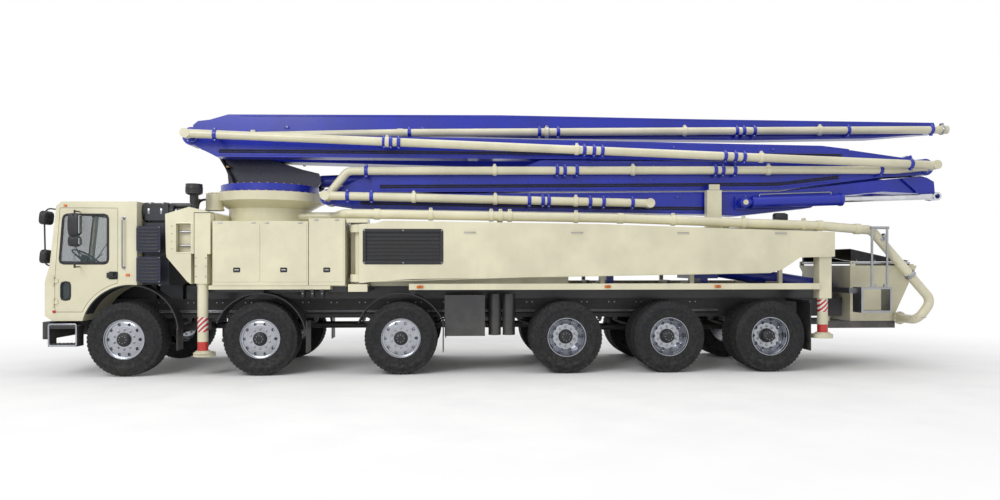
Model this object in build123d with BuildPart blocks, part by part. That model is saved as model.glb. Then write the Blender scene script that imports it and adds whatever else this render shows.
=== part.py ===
"""A truck-mounted concrete pump: six-axle chassis, outriggers, pump, and a five-arm boom.

Sizes are in millimetres.  X runs along the vehicle with the front at -X, Y runs across it with
the driver's left at -Y, and Z is up from the ground.  The origin is on the ground, midway
between the bumper's face and the end of the tip pipe.  Places along the vehicle are given as
stations, which are distances behind the first axle.
"""

import math
import os

from build123d import *

os.makedirs("parts", exist_ok=True)

# ---------------------------------------------------------------- overall sizes
OVERALL_LENGTH = 14260.0
FRONT_OVERHANG = 1180.0
BODY_WIDTH = 2480.0
RUNNING_GAP = 10.0
SWIVEL_GAP = 6.0
RING_GAP = 0.5
BEARING_GAP = 0.05

FIRST_AXLE_X = FRONT_OVERHANG - OVERALL_LENGTH / 2
TIP_STATION = OVERALL_LENGTH - FRONT_OVERHANG
HALF_WIDTH = BODY_WIDTH / 2
SIDES = {"left": -1, "right": 1}

# ---------------------------------------------------------------- wheels and axles
AXLE_STATIONS = (0.0, 1930.0, 3970.0, 6430.0, 7980.0, 9530.0)
TYRE_RADIUS = 540.0
TYRE_SHOULDER = 36.0
SINGLE_TYRE_WIDTH = 385.0
DUAL_TYRE_WIDTH = 300.0
DUAL_SPACING = 340.0
RIM_RADIUS = 290.0
RIM_WALL = 14.0
DISC_THICKNESS = 16.0
HUB_RADIUS = 105.0
DRUM_RADIUS = 205.0
SPINDLE_RADIUS = 42.0
KINGPIN_RADIUS = 25.0
KINGPIN_Y = 870.0

SINGLE_WHEEL_Y = HALF_WIDTH - SINGLE_TYRE_WIDTH / 2
DUAL_MID_Y = HALF_WIDTH - DUAL_TYRE_WIDTH / 2 - DUAL_SPACING / 2

# ---------------------------------------------------------------- chassis
RAIL_FRONT = -1020.0
RAIL_REAR = 11060.0
RAIL_OUTER_Y = 430.0
RAIL_FLANGE = 90.0
RAIL_WALL = 12.0
RAIL_BOTTOM = 790.0
RAIL_TOP = 1090.0
CROSS_MEMBERS = (-800.0, 1300.0, 2700.0, 4900.0, 5700.0, 7200.0, 8750.0, 10300.0, 10950.0)
CROSS_MEMBER_LENGTH = 90.0
SUBFRAME_TOP = 1300.0
SPRING_SPAN = 1300.0
SPRING_THICKNESS = 60.0
SPRING_WIDTH = 80.0
SPRING_Y = 430.0 - SPRING_WIDTH / 2
SPRING_SEAT_Z = 640.0

# ---------------------------------------------------------------- cab
CAB_HALF_WIDTH = 1160.0
CAB_WALL = 40.0
CAB_FRONT = -1144.0
CAB_REAR = 151.0
CAB_BOTTOM = 808.0
CAB_TOP = 2535.0
ARCH_CENTRE = (53.0, 641.0)
ARCH_RADIUS = 690.0
ARCH_LIP = 45.0
TUNNEL_HALF_WIDTH = 445.0
TUNNEL_TOP = 1330.0
DOOR_GAP = 6.0
DOOR_FRONT = -1000.0
DOOR_REAR = -120.0
DOOR_BOTTOM = 940.0
DOOR_TOP = 2440.0
DOOR_HINGES = (1080.0, 1385.0)
HINGE = (-1014.0, 1176.0)
HINGE_PIN = 8.0
GLASS = 6.0
SEAT_GAP = 0.3
SEAM = 0.3

# ---------------------------------------------------------------- turret and boom
SLEW_STATION = 1780.0
PEDESTAL_RADIUS = 640.0
FLANGE_RADIUS = 850.0
FLANGE_BOTTOM = 2610.0
FLANGE_TOP = 2745.0
RING_RADIUS = 760.0
RING_TOP = 2850.0
CHEEK = 50.0
NEAR_COLUMN = (-620.0, -280.0)
FAR_COLUMN = (0.0, 400.0)
FORK_PLATE = 35.0
PIN_RADIUS = 65.0
PIVOT_TURRET = (1050.0, 3450.0)
PIVOT_AB = (12270.0, 2910.0)
PIVOT_BC = (2805.0, 2668.0)
PIVOT_CD = (12350.0, 3200.0)
PIVOT_DE = (740.0, 3590.0)
CRANK = 25.0
PIPE_RADIUS = 64.0
SWIVEL_RADIUS = 72.0
INNER_PIPE_Y = -700.0
OUTER_PIPE_Y = -860.0
TIP_PIPE_Y = -75.0
FAR_PIPE_Y = 565.0
TURRET_PIPE_Y = 712.0

# ---------------------------------------------------------------- outriggers
BEAM_BOTTOM = 1800.0
BEAM_TOP = 2215.0
LEFT_BEAM = (1010.0, 1170.0)
RIGHT_BEAM = (740.0, 900.0)
FRONT_LEG_RADIUS = 75.0
REAR_LEG_RADIUS = 78.0
FOOT_RADIUS = 165.0
SWING_PIN_STATION = 3335.0
SWING_PIN_Y = 1100.0
SWING_ARM_Y = (960.0, 1240.0)
SWING_ARM_FRONT = 3361.0
SWING_ARM_REAR = 10525.0
REAR_LEG_STATION = 10400.0


def at(station):
    """X of a station measured from the first axle."""
    return FIRST_AXLE_X + station


def place(points):
    """Outline points given as (station, height) moved to X and Z."""
    return [(at(station), height) for station, height in points]


def span(side, inner, outer):
    """The Y range between two distances from the centreline, on one side."""
    return tuple(sorted((side * inner, side * outer)))


def slab(points, y_range, mode=Mode.ADD):
    """A closed (station, height) outline, extruded across a Y range."""
    with BuildSketch(Plane.XZ.offset(-y_range[1])) as outline:
        with BuildLine():
            Polyline(*place(points), close=True)
        make_face()
    extrude(outline.sketch, amount=y_range[1] - y_range[0], mode=mode)


def disc(centre, radius, y_range, mode=Mode.ADD):
    """A round bar along Y about a (station, height) centre."""
    with BuildSketch(Plane.XZ.offset(-y_range[1])) as circle:
        with Locations((at(centre[0]), centre[1])):
            Circle(radius)
    extrude(circle.sketch, amount=y_range[1] - y_range[0], mode=mode)


def block(stations, y_range, z_range, mode=Mode.ADD):
    """A box between two stations, two Y values and two heights."""
    sizes = [high - low for low, high in (stations, y_range, z_range)]
    middle = [(high + low) / 2 for low, high in (stations, y_range, z_range)]
    with Locations((at(middle[0]), middle[1], middle[2])):
        Box(*sizes, mode=mode)


def post(station, y, radius, z_range, mode=Mode.ADD):
    """A round bar standing along Z."""
    with Locations((at(station), y, (z_range[0] + z_range[1]) / 2)):
        Cylinder(radius, z_range[1] - z_range[0], mode=mode)


def bar(start, end, radius, mode=Mode.ADD):
    """A round bar between two (station, y, height) points."""
    first = Vector(at(start[0]), start[1], start[2])
    last = Vector(at(end[0]), end[1], end[2])
    direction = last - first
    with BuildSketch(Plane(origin=first, z_dir=direction)) as circle:
        Circle(radius)
    extrude(circle.sketch, amount=direction.length, mode=mode)


def between(start, end, share):
    """A point on the line between two pivots."""
    return (start[0] + share * (end[0] - start[0]), start[1] + share * (end[1] - start[1]))


def eye(centre, radius, y_range):
    """Round boss of a pivot."""
    disc(centre, radius, y_range)


def bore(centre, y_range, radius=PIN_RADIUS + BEARING_GAP):
    """Running bore through a boss."""
    disc(centre, radius, y_range, Mode.SUBTRACT)


def write(part, name):
    """Label a finished piece and export it under its node name."""
    part.label = name
    export_step(part, f"parts/{name}.step")


# ================================================================ chassis
with BuildPart() as chassis_frame:
    for side in SIDES.values():
        with BuildSketch(Plane.YZ.offset(at(RAIL_FRONT))):
            with Locations((side * (RAIL_OUTER_Y - RAIL_FLANGE / 2), (RAIL_BOTTOM + RAIL_TOP) / 2)):
                Rectangle(RAIL_FLANGE, RAIL_TOP - RAIL_BOTTOM)
            with Locations(
                (side * (RAIL_OUTER_Y - RAIL_FLANGE / 2 - RAIL_WALL), (RAIL_BOTTOM + RAIL_TOP) / 2)
            ):
                Rectangle(RAIL_FLANGE, RAIL_TOP - RAIL_BOTTOM - 2 * RAIL_WALL, mode=Mode.SUBTRACT)
        extrude(amount=RAIL_REAR - RAIL_FRONT)
    web_inner_y = RAIL_OUTER_Y - RAIL_WALL
    for station in CROSS_MEMBERS:
        block(
            (station, station + CROSS_MEMBER_LENGTH),
            (-web_inner_y, web_inner_y),
            (RAIL_BOTTOM + RAIL_WALL, RAIL_TOP - RAIL_WALL),
        )
    for side in SIDES.values():
        rail_y = span(side, RAIL_OUTER_Y - 80, RAIL_OUTER_Y - 5)
        block((CAB_REAR - 91, CAB_REAR - 11), rail_y, (RAIL_TOP - 5, TUNNEL_TOP))
        block((-900, -820), span(side, RAIL_OUTER_Y - 5, TUNNEL_HALF_WIDTH), (950, 1050))
    for station in AXLE_STATIONS:
        for side in SIDES.values():
            for end in (-1, 1):
                middle = station + end * SPRING_SPAN / 2
                block(
                    (middle - 30, middle + 30),
                    span(side, SPRING_Y - SPRING_WIDTH / 2, SPRING_Y + SPRING_WIDTH / 2),
                    (RAIL_BOTTOM - 40, RAIL_BOTTOM),
                )
write(chassis_frame.part, "chassis_frame")


def leaf_springs(station):
    """A bowed pack of leaves under each rail, and its seat down to the axle."""
    for side in SIDES.values():
        low, high = span(side, SPRING_Y - SPRING_WIDTH / 2, SPRING_Y + SPRING_WIDTH / 2)
        half = SPRING_SPAN / 2 + 20
        tip = RAIL_BOTTOM - 40
        with BuildSketch(Plane.XZ.offset(-high)) as pack:
            with BuildLine():
                upper = ThreePointArc(
                    (at(station - half), tip), (at(station), SPRING_SEAT_Z), (at(station + half), tip)
                )
                Line(upper @ 1, (at(station + half), tip - 20))
                lower = ThreePointArc(
                    (at(station + half), tip - 20),
                    (at(station), SPRING_SEAT_Z - SPRING_THICKNESS),
                    (at(station - half), tip - 20),
                )
                Line(lower @ 1, upper @ 0)
            make_face()
        extrude(pack.sketch, amount=high - low)


BEAM_Z = (430.0, 545.0)
EYE_Z = (480.0, 600.0)
with BuildPart() as front_axles:
    for index, station in enumerate(AXLE_STATIONS[:3]):
        for side in SIDES.values():
            block((station - 45, station + 45), span(side, 0, 720), BEAM_Z)
            block((station - 45, station + 45), span(side, 700, 800), (455, 585))
            block(
                (station - 60, station + 60),
                span(side, SPRING_Y - SPRING_WIDTH / 2, SPRING_Y + SPRING_WIDTH / 2),
                (BEAM_Z[1] - 5, SPRING_SEAT_Z - SPRING_THICKNESS + 10),
            )
            if index < 2:
                post(station, side * KINGPIN_Y, 55, EYE_Z)
                block((station - 35, station + 35), span(side, 780, KINGPIN_Y), EYE_Z)
                post(station, side * KINGPIN_Y, KINGPIN_RADIUS + BEARING_GAP, EYE_Z, Mode.SUBTRACT)
            else:
                disc((station, TYRE_RADIUS), SPINDLE_RADIUS, span(side, 790, SINGLE_WHEEL_Y + 120))
        leaf_springs(station)
write(front_axles.part, "front_axles")

DIFF_RADIUS = 200.0
ENGINE_FRONT = -560.0
ENGINE_REAR = 940.0
SHAFT_RADIUS = 55.0
with BuildPart() as rear_axles:
    for station in AXLE_STATIONS[3:]:
        disc((station, TYRE_RADIUS), 85, (-600, 600))
        with Locations((at(station), 0, TYRE_RADIUS)):
            Cylinder(DIFF_RADIUS, 420, rotation=(0, 90, 0))
        for side in SIDES.values():
            disc((station, TYRE_RADIUS), SPINDLE_RADIUS, span(side, 590, DUAL_MID_Y + 210))
            block(
                (station - 60, station + 60),
                span(side, SPRING_Y - SPRING_WIDTH / 2, SPRING_Y + SPRING_WIDTH / 2),
                (TYRE_RADIUS, SPRING_SEAT_Z - SPRING_THICKNESS + 40),
            )
        leaf_springs(station)
    bar((ENGINE_REAR, 0, 650), (AXLE_STATIONS[3] - 190, 0, 650), SHAFT_RADIUS)
    bar((AXLE_STATIONS[3] + 190, 0, 600), (AXLE_STATIONS[4] - 190, 0, 600), SHAFT_RADIUS)
    bar((AXLE_STATIONS[4] + 190, 0, 600), (AXLE_STATIONS[5] - 190, 0, 600), SHAFT_RADIUS)
write(rear_axles.part, "rear_axles")

with BuildPart() as engine_block:
    block((ENGINE_FRONT, ENGINE_REAR), (-325, 325), (600, 1280))
    block((-1010, -900), (-325, 325), (800, 1290))
    for side in SIDES.values():
        for station in (ENGINE_FRONT + 100, ENGINE_REAR - 250):
            block((station, station + 110), span(side, 320, RAIL_OUTER_Y - RAIL_WALL), (850, 950))
        block((-1000, -910), span(side, 320, RAIL_OUTER_Y - RAIL_WALL), (830, 900))
write(engine_block.part, "engine_block")


# ================================================================ steering knuckles and wheels
def knuckle(side, station):
    """Fork round the axle eye, kingpin, backplate and spindle of a steered wheel."""
    with BuildPart() as forging:
        y = side * KINGPIN_Y
        post(station, y, KINGPIN_RADIUS, (430, 650))
        post(station, y, 55, (430, EYE_Z[0] - 1))
        post(station, y, 55, (EYE_Z[1] + 1, 650))
        block((station - 50, station + 50), span(side, KINGPIN_Y, 965), (430, EYE_Z[0] - 1))
        block((station - 50, station + 50), span(side, KINGPIN_Y, 965), (EYE_Z[1] + 1, 650))
        block((station - 50, station + 50), span(side, 930, 965), (430, 650))
        disc((station, TYRE_RADIUS), 120, span(side, 945, 965))
        disc((station, TYRE_RADIUS), SPINDLE_RADIUS, span(side, 950, SINGLE_WHEEL_Y + 120))
    return forging.part


for index, station in enumerate(AXLE_STATIONS[:2]):
    for side_name, side in SIDES.items():
        write(knuckle(side, station), f"knuckle_{index + 1}_{side_name}")


def tyre_profile(centre, width):
    """Half section of a tyre, as (distance from the wheel's middle, radius) points."""
    half = width / 2
    return [
        (centre - half + 20, RIM_RADIUS),
        (centre - half, RIM_RADIUS + 90),
        (centre - half + 8, TYRE_RADIUS - TYRE_SHOULDER),
        (centre - half + TYRE_SHOULDER, TYRE_RADIUS),
        (centre + half - TYRE_SHOULDER, TYRE_RADIUS),
        (centre + half - 8, TYRE_RADIUS - TYRE_SHOULDER),
        (centre + half, RIM_RADIUS + 90),
        (centre + half - 20, RIM_RADIUS),
    ]


def barrel_profile(centre, width):
    """Half section of a rim's barrel."""
    half = width / 2 - 25
    return [
        (centre - half, RIM_RADIUS - RIM_WALL),
        (centre + half, RIM_RADIUS - RIM_WALL),
        (centre + half, RIM_RADIUS),
        (centre - half, RIM_RADIUS),
    ]


def ring_profile(low, high, inner, outer):
    """Half section of a plain ring."""
    return [(low, inner), (high, inner), (high, outer), (low, outer)]


def turned(points, station, middle_y, side):
    """Revolve a half section about the axle line, outboard towards the given side."""
    plane = Plane(origin=(at(station), middle_y, TYRE_RADIUS), x_dir=(0, side, 0), z_dir=(side, 0, 0))
    with BuildSketch(plane) as section:
        with BuildLine():
            Polyline(*points, close=True)
        make_face()
    return revolve(section.sketch, axis=Axis(plane.origin, (0, 1, 0)), mode=Mode.PRIVATE)


def wheel(station, side, tyres, middle_y, discs, drum):
    """Tyres as their own solids on one turned rim with its disc, hub and brake drum."""
    with BuildPart() as rim:
        for centre, width in tyres:
            add(turned(barrel_profile(centre, width), station, side * middle_y, side))
        for disc_section in discs:
            add(turned(disc_section, station, side * middle_y, side))
        inner_end, hub_end, drum_inner, drum_outer = drum
        bore = SPINDLE_RADIUS + BEARING_GAP
        hub = ring_profile(inner_end, hub_end, bore, HUB_RADIUS)
        cover = ring_profile(drum_inner, drum_outer, DRUM_RADIUS - 20, DRUM_RADIUS)
        add(turned(hub, station, side * middle_y, side))
        add(turned(cover, station, side * middle_y, side))
    rubber = [turned(tyre_profile(centre, width), station, side * middle_y, side) for centre, width in tyres]
    return Compound(children=[*rubber, *rim.part.solids()])


RIM_SEAT = RIM_RADIUS - RIM_WALL / 2
SINGLE_DISC = ring_profile(110.0, 110.0 + DISC_THICKNESS, HUB_RADIUS - 30, RIM_SEAT)
OUTER_DISH = [(0.0, 80.0), (14.0, 80.0), (14.0, 185.0), (62.0, RIM_SEAT), (47.0, RIM_SEAT), (0.0, 192.0)]
INNER_DISH = [(-low, radius) for low, radius in OUTER_DISH]

for index, station in enumerate(AXLE_STATIONS):
    for side_name, side in SIDES.items():
        if index < 3:
            single = [(0.0, SINGLE_TYRE_WIDTH)]
            made = wheel(station, side, single, SINGLE_WHEEL_Y, [SINGLE_DISC], (-70.0, 165.0, -60.0, 115.0))
        else:
            pair = [(-DUAL_SPACING / 2, DUAL_TYRE_WIDTH), (DUAL_SPACING / 2, DUAL_TYRE_WIDTH)]
            dishes = [OUTER_DISH, INNER_DISH]
            made = wheel(station, side, pair, DUAL_MID_Y, dishes, (-210.0, 240.0, -230.0, 0.0))
        write(made, f"wheel_{index + 1}_{side_name}")

# ================================================================ cab
CAB_PROFILE = [
    (-1032, CAB_BOTTOM),
    (CAB_FRONT, 880),
    (CAB_FRONT, 1371),
    (-1074, 1617),
    (-983, 2470),
    (-906, CAB_TOP),
    (CAB_REAR, CAB_TOP + 5),
    (CAB_REAR, CAB_BOTTOM),
]
SCREEN_LOW = (-1074.0, 1617.0)
SCREEN_HIGH = (-983.0, 2470.0)
PANE_Z = (1660.0, 2410.0)
PANE_Y = (45.0, 1040.0)


def screen_station(height, inset=0.0):
    """Station of the windscreen's plane at a height."""
    share = (height - SCREEN_LOW[1]) / (SCREEN_HIGH[1] - SCREEN_LOW[1])
    return SCREEN_LOW[0] + share * (SCREEN_HIGH[0] - SCREEN_LOW[0]) + inset


def cab_face(inset=0.0):
    """Side section of the cab above the wheel arch, drawn inward by a wall."""
    with BuildSketch() as section:
        with BuildLine():
            Polyline(*place(CAB_PROFILE), close=True)
        make_face()
        with Locations((at(ARCH_CENTRE[0]), ARCH_CENTRE[1])):
            Circle(ARCH_RADIUS, mode=Mode.SUBTRACT)
        if inset:
            offset(amount=-inset, kind=Kind.INTERSECTION, mode=Mode.REPLACE)
    return section.sketch.face()


def across(face, half_width):
    """A side section carried across the cab."""
    standing = Plane.XZ.offset(-half_width) * face
    return extrude(standing, amount=2 * half_width, mode=Mode.PRIVATE)


def door_outline(gap=0.0):
    """Side outline of a door, following the wheel arch; a gap makes it larger."""
    with BuildSketch() as section:
        with BuildLine():
            Polyline(
                (at(DOOR_FRONT - gap), DOOR_BOTTOM - gap),
                (at(DOOR_FRONT - gap), 1400),
                (at(-985 - gap), 1617),
                (at(-925 - gap), DOOR_TOP + gap),
                (at(DOOR_REAR + gap), DOOR_TOP + gap),
                (at(DOOR_REAR + gap), DOOR_BOTTOM - gap),
                close=True,
            )
        make_face()
        with Locations((at(ARCH_CENTRE[0]), ARCH_CENTRE[1])):
            Circle(ARCH_RADIUS + ARCH_LIP - gap, mode=Mode.SUBTRACT)
    return section.sketch.face()


DOOR_WINDOW = [(-935, 1640), (-880, 2345), (-255, 2345), (-255, 1640)]
KICK_WINDOW = (-850.0, 1241.0)
KICK_WINDOW_SIZE = (260.0, 130.0)

# The cab's panels butt at narrow seams.
FLANK_TOP = 1371.0
FLOOR_FRONT = -1018.0
FLOOR_REAR = -652.0
ROOF_SEAM = 2480.0

tunnel_zone = Pos(at(-500), 0, TUNNEL_TOP + CAB_WALL - 500) * Box(2000, 2 * HALF_WIDTH, 1000)
tunnel_skin = across(cab_face(), TUNNEL_HALF_WIDTH + CAB_WALL) & tunnel_zone
with BuildPart() as cab_shell:
    add(across(cab_face(), CAB_HALF_WIDTH))
    add(across(cab_face(CAB_WALL), CAB_HALF_WIDTH - CAB_WALL), mode=Mode.SUBTRACT)
    add(tunnel_skin)
    tunnel_y = (-TUNNEL_HALF_WIDTH, TUNNEL_HALF_WIDTH)
    block((CAB_FRONT + CAB_WALL, CAB_REAR + 10), tunnel_y, (700, TUNNEL_TOP), Mode.SUBTRACT)
    for side in SIDES.values():
        low, high = span(side, *PANE_Y)
        block((-1200, -930), (low, high), PANE_Z, Mode.SUBTRACT)
        opening = Plane.XZ.offset(-span(side, CAB_HALF_WIDTH - CAB_WALL - 5, CAB_HALF_WIDTH + 5)[1])
        extrude(opening * door_outline(DOOR_GAP), amount=CAB_WALL + 10, mode=Mode.SUBTRACT)
        for height in DOOR_HINGES:
            for end in (-1, 1):
                lug = (height + end * 45 - 15, height + end * 45 + 15)
                block((HINGE[0] - 28, HINGE[0] + 10), span(side, CAB_HALF_WIDTH - 5, HINGE[1] + 14), lug)
            post(HINGE[0], side * HINGE[1], HINGE_PIN, (height - 50, height + 50))
    whole_y = (-CAB_HALF_WIDTH, CAB_HALF_WIDTH)
    for side in SIDES.values():
        wall = CAB_HALF_WIDTH - CAB_WALL
        block((-1200, 200), span(side, wall - SEAM, wall), (700, 2600), Mode.SUBTRACT)
        flank = TUNNEL_HALF_WIDTH + CAB_WALL
        block((-1200, 200), span(side, flank, flank + SEAM), (700, FLANK_TOP), Mode.SUBTRACT)
        block((-1200, FLOOR_FRONT), span(side, flank, wall), (904, 904 + SEAM), Mode.SUBTRACT)
        for station, top in ((FLOOR_FRONT, 904), (FLOOR_REAR, 860)):
            block((station, station + SEAM), span(side, flank, wall), (700, top), Mode.SUBTRACT)
        skin = span(side, wall, HINGE[1] + 20)
        for height in (1450, DOOR_TOP + DOOR_GAP):
            block((-1200, 200), skin, (height, height + SEAM), Mode.SUBTRACT)
        sill = DOOR_BOTTOM - DOOR_GAP
        block((-1200, -550), skin, (sill, sill + SEAM), Mode.SUBTRACT)
        rear_edge = DOOR_REAR + DOOR_GAP
        block((rear_edge - SEAM, rear_edge), skin, (1290, 1360), Mode.SUBTRACT)
    for height in (FLANK_TOP, SCREEN_LOW[1]):
        block((-1200, -960), whole_y, (height, height + SEAM), Mode.SUBTRACT)
    block((-1200, 200), whole_y, (ROOF_SEAM, ROOF_SEAM + SEAM), Mode.SUBTRACT)
    block((CAB_REAR - CAB_WALL - SEAM, CAB_REAR - CAB_WALL), whole_y, (700, ROOF_SEAM), Mode.SUBTRACT)
write(cab_shell.part, "cab_shell")

with BuildPart() as cab_glass:
    for side in SIDES.values():
        pane = [
            (screen_station(PANE_Z[0], 14), PANE_Z[0]),
            (screen_station(PANE_Z[1], 14), PANE_Z[1]),
            (screen_station(PANE_Z[1], 14 + GLASS), PANE_Z[1]),
            (screen_station(PANE_Z[0], 14 + GLASS), PANE_Z[0]),
        ]
        slab(pane, span(side, *PANE_Y))
write(cab_glass.part, "cab_glass")

with BuildPart() as cab_interior:
    for side in SIDES.values():
        low, high = span(side, 520, 1060)
        block((-520, 60), (low, high), (ARCH_CENTRE[1] + ARCH_RADIUS + CAB_WALL + SEAT_GAP, 1660))
        block((-60, 90), (low, high), (1660 + SEAT_GAP, 2260))
    slab([(-1093.5, 1400), (-1036.5, 1600), (-860, 1600), (-860, 1400)], (-1110, 1110))
    bar((-900, -790, 1500), (-747, -790, 1741), 22)
    wheel_plane = Plane(origin=(at(-755), -790, 1728), z_dir=(0.54, 0, 0.84))
    with BuildSketch(wheel_plane) as steering_wheel:
        Circle(215)
        Circle(190, mode=Mode.SUBTRACT)
        Rectangle(30, 400)
    extrude(steering_wheel.sketch, amount=24)
    block((-860, -860 + SEAM), (-850, -730), (1400, 1700), Mode.SUBTRACT)
write(cab_interior.part, "cab_interior")


def door(side):
    """Door panel with its glass, handle, and the mirror on its loop arm."""
    inner, outer = CAB_HALF_WIDTH - CAB_WALL + 2, CAB_HALF_WIDTH
    with BuildPart() as panel:
        skin = Plane.XZ.offset(-span(side, inner, outer)[1])
        extrude(skin * door_outline(), amount=outer - inner)
        slab(DOOR_WINDOW, span(side, inner - 5, outer + 5), Mode.SUBTRACT)
        with BuildSketch(Plane.XZ.offset(-span(side, inner - 5, outer + 5)[1])) as porthole:
            with Locations((at(KICK_WINDOW[0]), KICK_WINDOW[1])):
                SlotOverall(*KICK_WINDOW_SIZE, rotation=90)
        extrude(porthole.sketch, amount=outer - inner + 10, mode=Mode.SUBTRACT)
        block((-262, -172), span(side, outer - 5, outer + 30), (1430, 1505))
        for height in DOOR_HINGES:
            post(HINGE[0], side * HINGE[1], HINGE_PIN + 8, (height - 28, height + 28))
            block((HINGE[0], HINGE[0] + 60), span(side, outer + 1, outer + 14), (height - 28, height + 28))
            block((HINGE[0] + 20, HINGE[0] + 60), span(side, outer - 4, outer + 5), (height - 28, height + 28))
            post(HINGE[0], side * HINGE[1], HINGE_PIN + BEARING_GAP, (height - 50, height + 50), Mode.SUBTRACT)
        mirror_y = side * (outer + 170)
        for height in (1590, 2385):
            bar((-640, side * (outer + SEAM), height), (-640, mirror_y, height), 10)
        post(-640, mirror_y, 13, (1575, 2400))
        block((-711, -571), span(side, outer + 150, outer + 200), (1895, 2350))
    with BuildPart() as glass:
        slab(DOOR_WINDOW, span(side, inner + 14, inner + 14 + GLASS))
        with BuildSketch(Plane.XZ.offset(-span(side, inner + 14, inner + 14 + GLASS)[1])) as pane:
            with Locations((at(KICK_WINDOW[0]), KICK_WINDOW[1])):
                SlotOverall(*KICK_WINDOW_SIZE, rotation=90)
        extrude(pane.sketch, amount=GLASS)
    return Compound(children=[*panel.part.solids(), *glass.part.solids()])


for side_name, side in SIDES.items():
    write(door(side), f"cab_door_{side_name}")

BUMPER_Z = (548.0, 795.0)
with BuildPart() as bumper_and_steps:
    block((-FRONT_OVERHANG, -1060), (-1200, 1200), BUMPER_Z)
    front_corners = bumper_and_steps.edges().filter_by(Axis.Z).group_by(Axis.X)[0]
    fillet(front_corners, 70)
    for side in SIDES.values():
        block((-1060, -900), span(side, RAIL_OUTER_Y - RAIL_FLANGE, RAIL_OUTER_Y), (BUMPER_Z[0], RAIL_BOTTOM))
        for tread in (444, 700):
            block((-1060, -655), span(side, 1040, 1230), (tread, tread + 35))
        for station in (-1060, -675):
            block((station, station + 20), span(side, 1040, 1230), (444, 735))
write(bumper_and_steps.part, "bumper_and_steps")

# ================================================================ mudguards
GUARD_INNER = 655.0
GUARD_THICKNESS = 14.0
FLAP_PLACES = (662.0, 612.0)
GUARD_Y = (930.0, 1238.0)
SILL_Z = (1260.0, 1320.0)
SIDE_RAIL_Z = (1250.0, 1340.0)


def guard(centre, inner, outer, start, end, y_range):
    """An arched mudguard between two angles from the rear, over the wheel."""
    middle = (start + end) / 2

    def polar(radius, angle):
        turn = math.radians(angle)
        return (at(centre[0] + radius * math.cos(turn)), centre[1] + radius * math.sin(turn))

    with BuildSketch(Plane.XZ.offset(-y_range[1])) as arch:
        with BuildLine():
            outside = ThreePointArc(polar(outer, start), polar(outer, middle), polar(outer, end))
            Line(outside @ 1, polar(inner, end))
            inside = ThreePointArc(polar(inner, end), polar(inner, middle), polar(inner, start))
            Line(inside @ 1, outside @ 0)
        make_face()
    extrude(arch.sketch, amount=y_range[1] - y_range[0])


with BuildPart() as mudguards:
    for side in SIDES.values():
        near = span(side, *GUARD_Y)
        guard(ARCH_CENTRE, ARCH_RADIUS - 18, ARCH_RADIUS - SEAT_GAP, 3, 157, span(side, 930, CAB_HALF_WIDTH))
        block((ARCH_CENTRE[0] + 662, ARCH_CENTRE[0] + 676), span(side, 930, CAB_HALF_WIDTH), (370, 700))
        for station, flap in zip(AXLE_STATIONS[1:3], FLAP_PLACES):
            start = 4 if station == AXLE_STATIONS[1] else 20
            guard((station, TYRE_RADIUS), GUARD_INNER, GUARD_INNER + GUARD_THICKNESS, start, 160, near)
            block((station + flap, station + flap + GUARD_THICKNESS), near, (330, 790))
        crown = TYRE_RADIUS + GUARD_INNER + GUARD_THICKNESS
        block((AXLE_STATIONS[1] - 40, AXLE_STATIONS[1] + 40), span(side, 1045, 1180), (crown - 8, SILL_Z[0]))
        block((4095, 4175), span(side, 1155, 1200), (1180, SIDE_RAIL_Z[0]))
        bar((10150, side * RAIL_OUTER_Y, 1060), (10150, side * 1230, 1060), 25)
        block((10143, 10157), span(side, 770, 1235), (320, 1060))
write(mudguards.part, "mudguards")

# ================================================================ cooling stack and snorkel behind the cab
with BuildPart() as cooling_tower:
    block((190, 550), (-1000, 1000), (1330, 2240))
    block((200, 535), (-1000, -250), (2275, 2516))
    block((230, 500), (-900, -300), (2240, 2275))
    bar((530, -850, 2505), (870, -850, 2505), 40)
    post(859, -850, 50, (2460, 2690))
    post(859, -850, 120, (2685, 2830))
    for side in SIDES.values():
        block((200, 540), span(side, 350, 425), (RAIL_TOP, 1335))
write(cooling_tower.part, "cooling_tower")

# ================================================================ pedestal, subframe and front outrigger housing
HOUSING_PROFILE = [(597, 1780), (585, 2356), (923, 2459), (1240, 2376), (1240, 1780)]
GUSSET_PROFILE = [(597, 1785), (605, 1730), (895, 1380), (950, 1340), (950, 1785)]
TUNNEL_CLEARANCE = 7.0
LOWER_BOX_REAR = 3150.0
BOX_TOP = 2255.0
GEARBOX = (1040.0, -470.0, 130.0)

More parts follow.
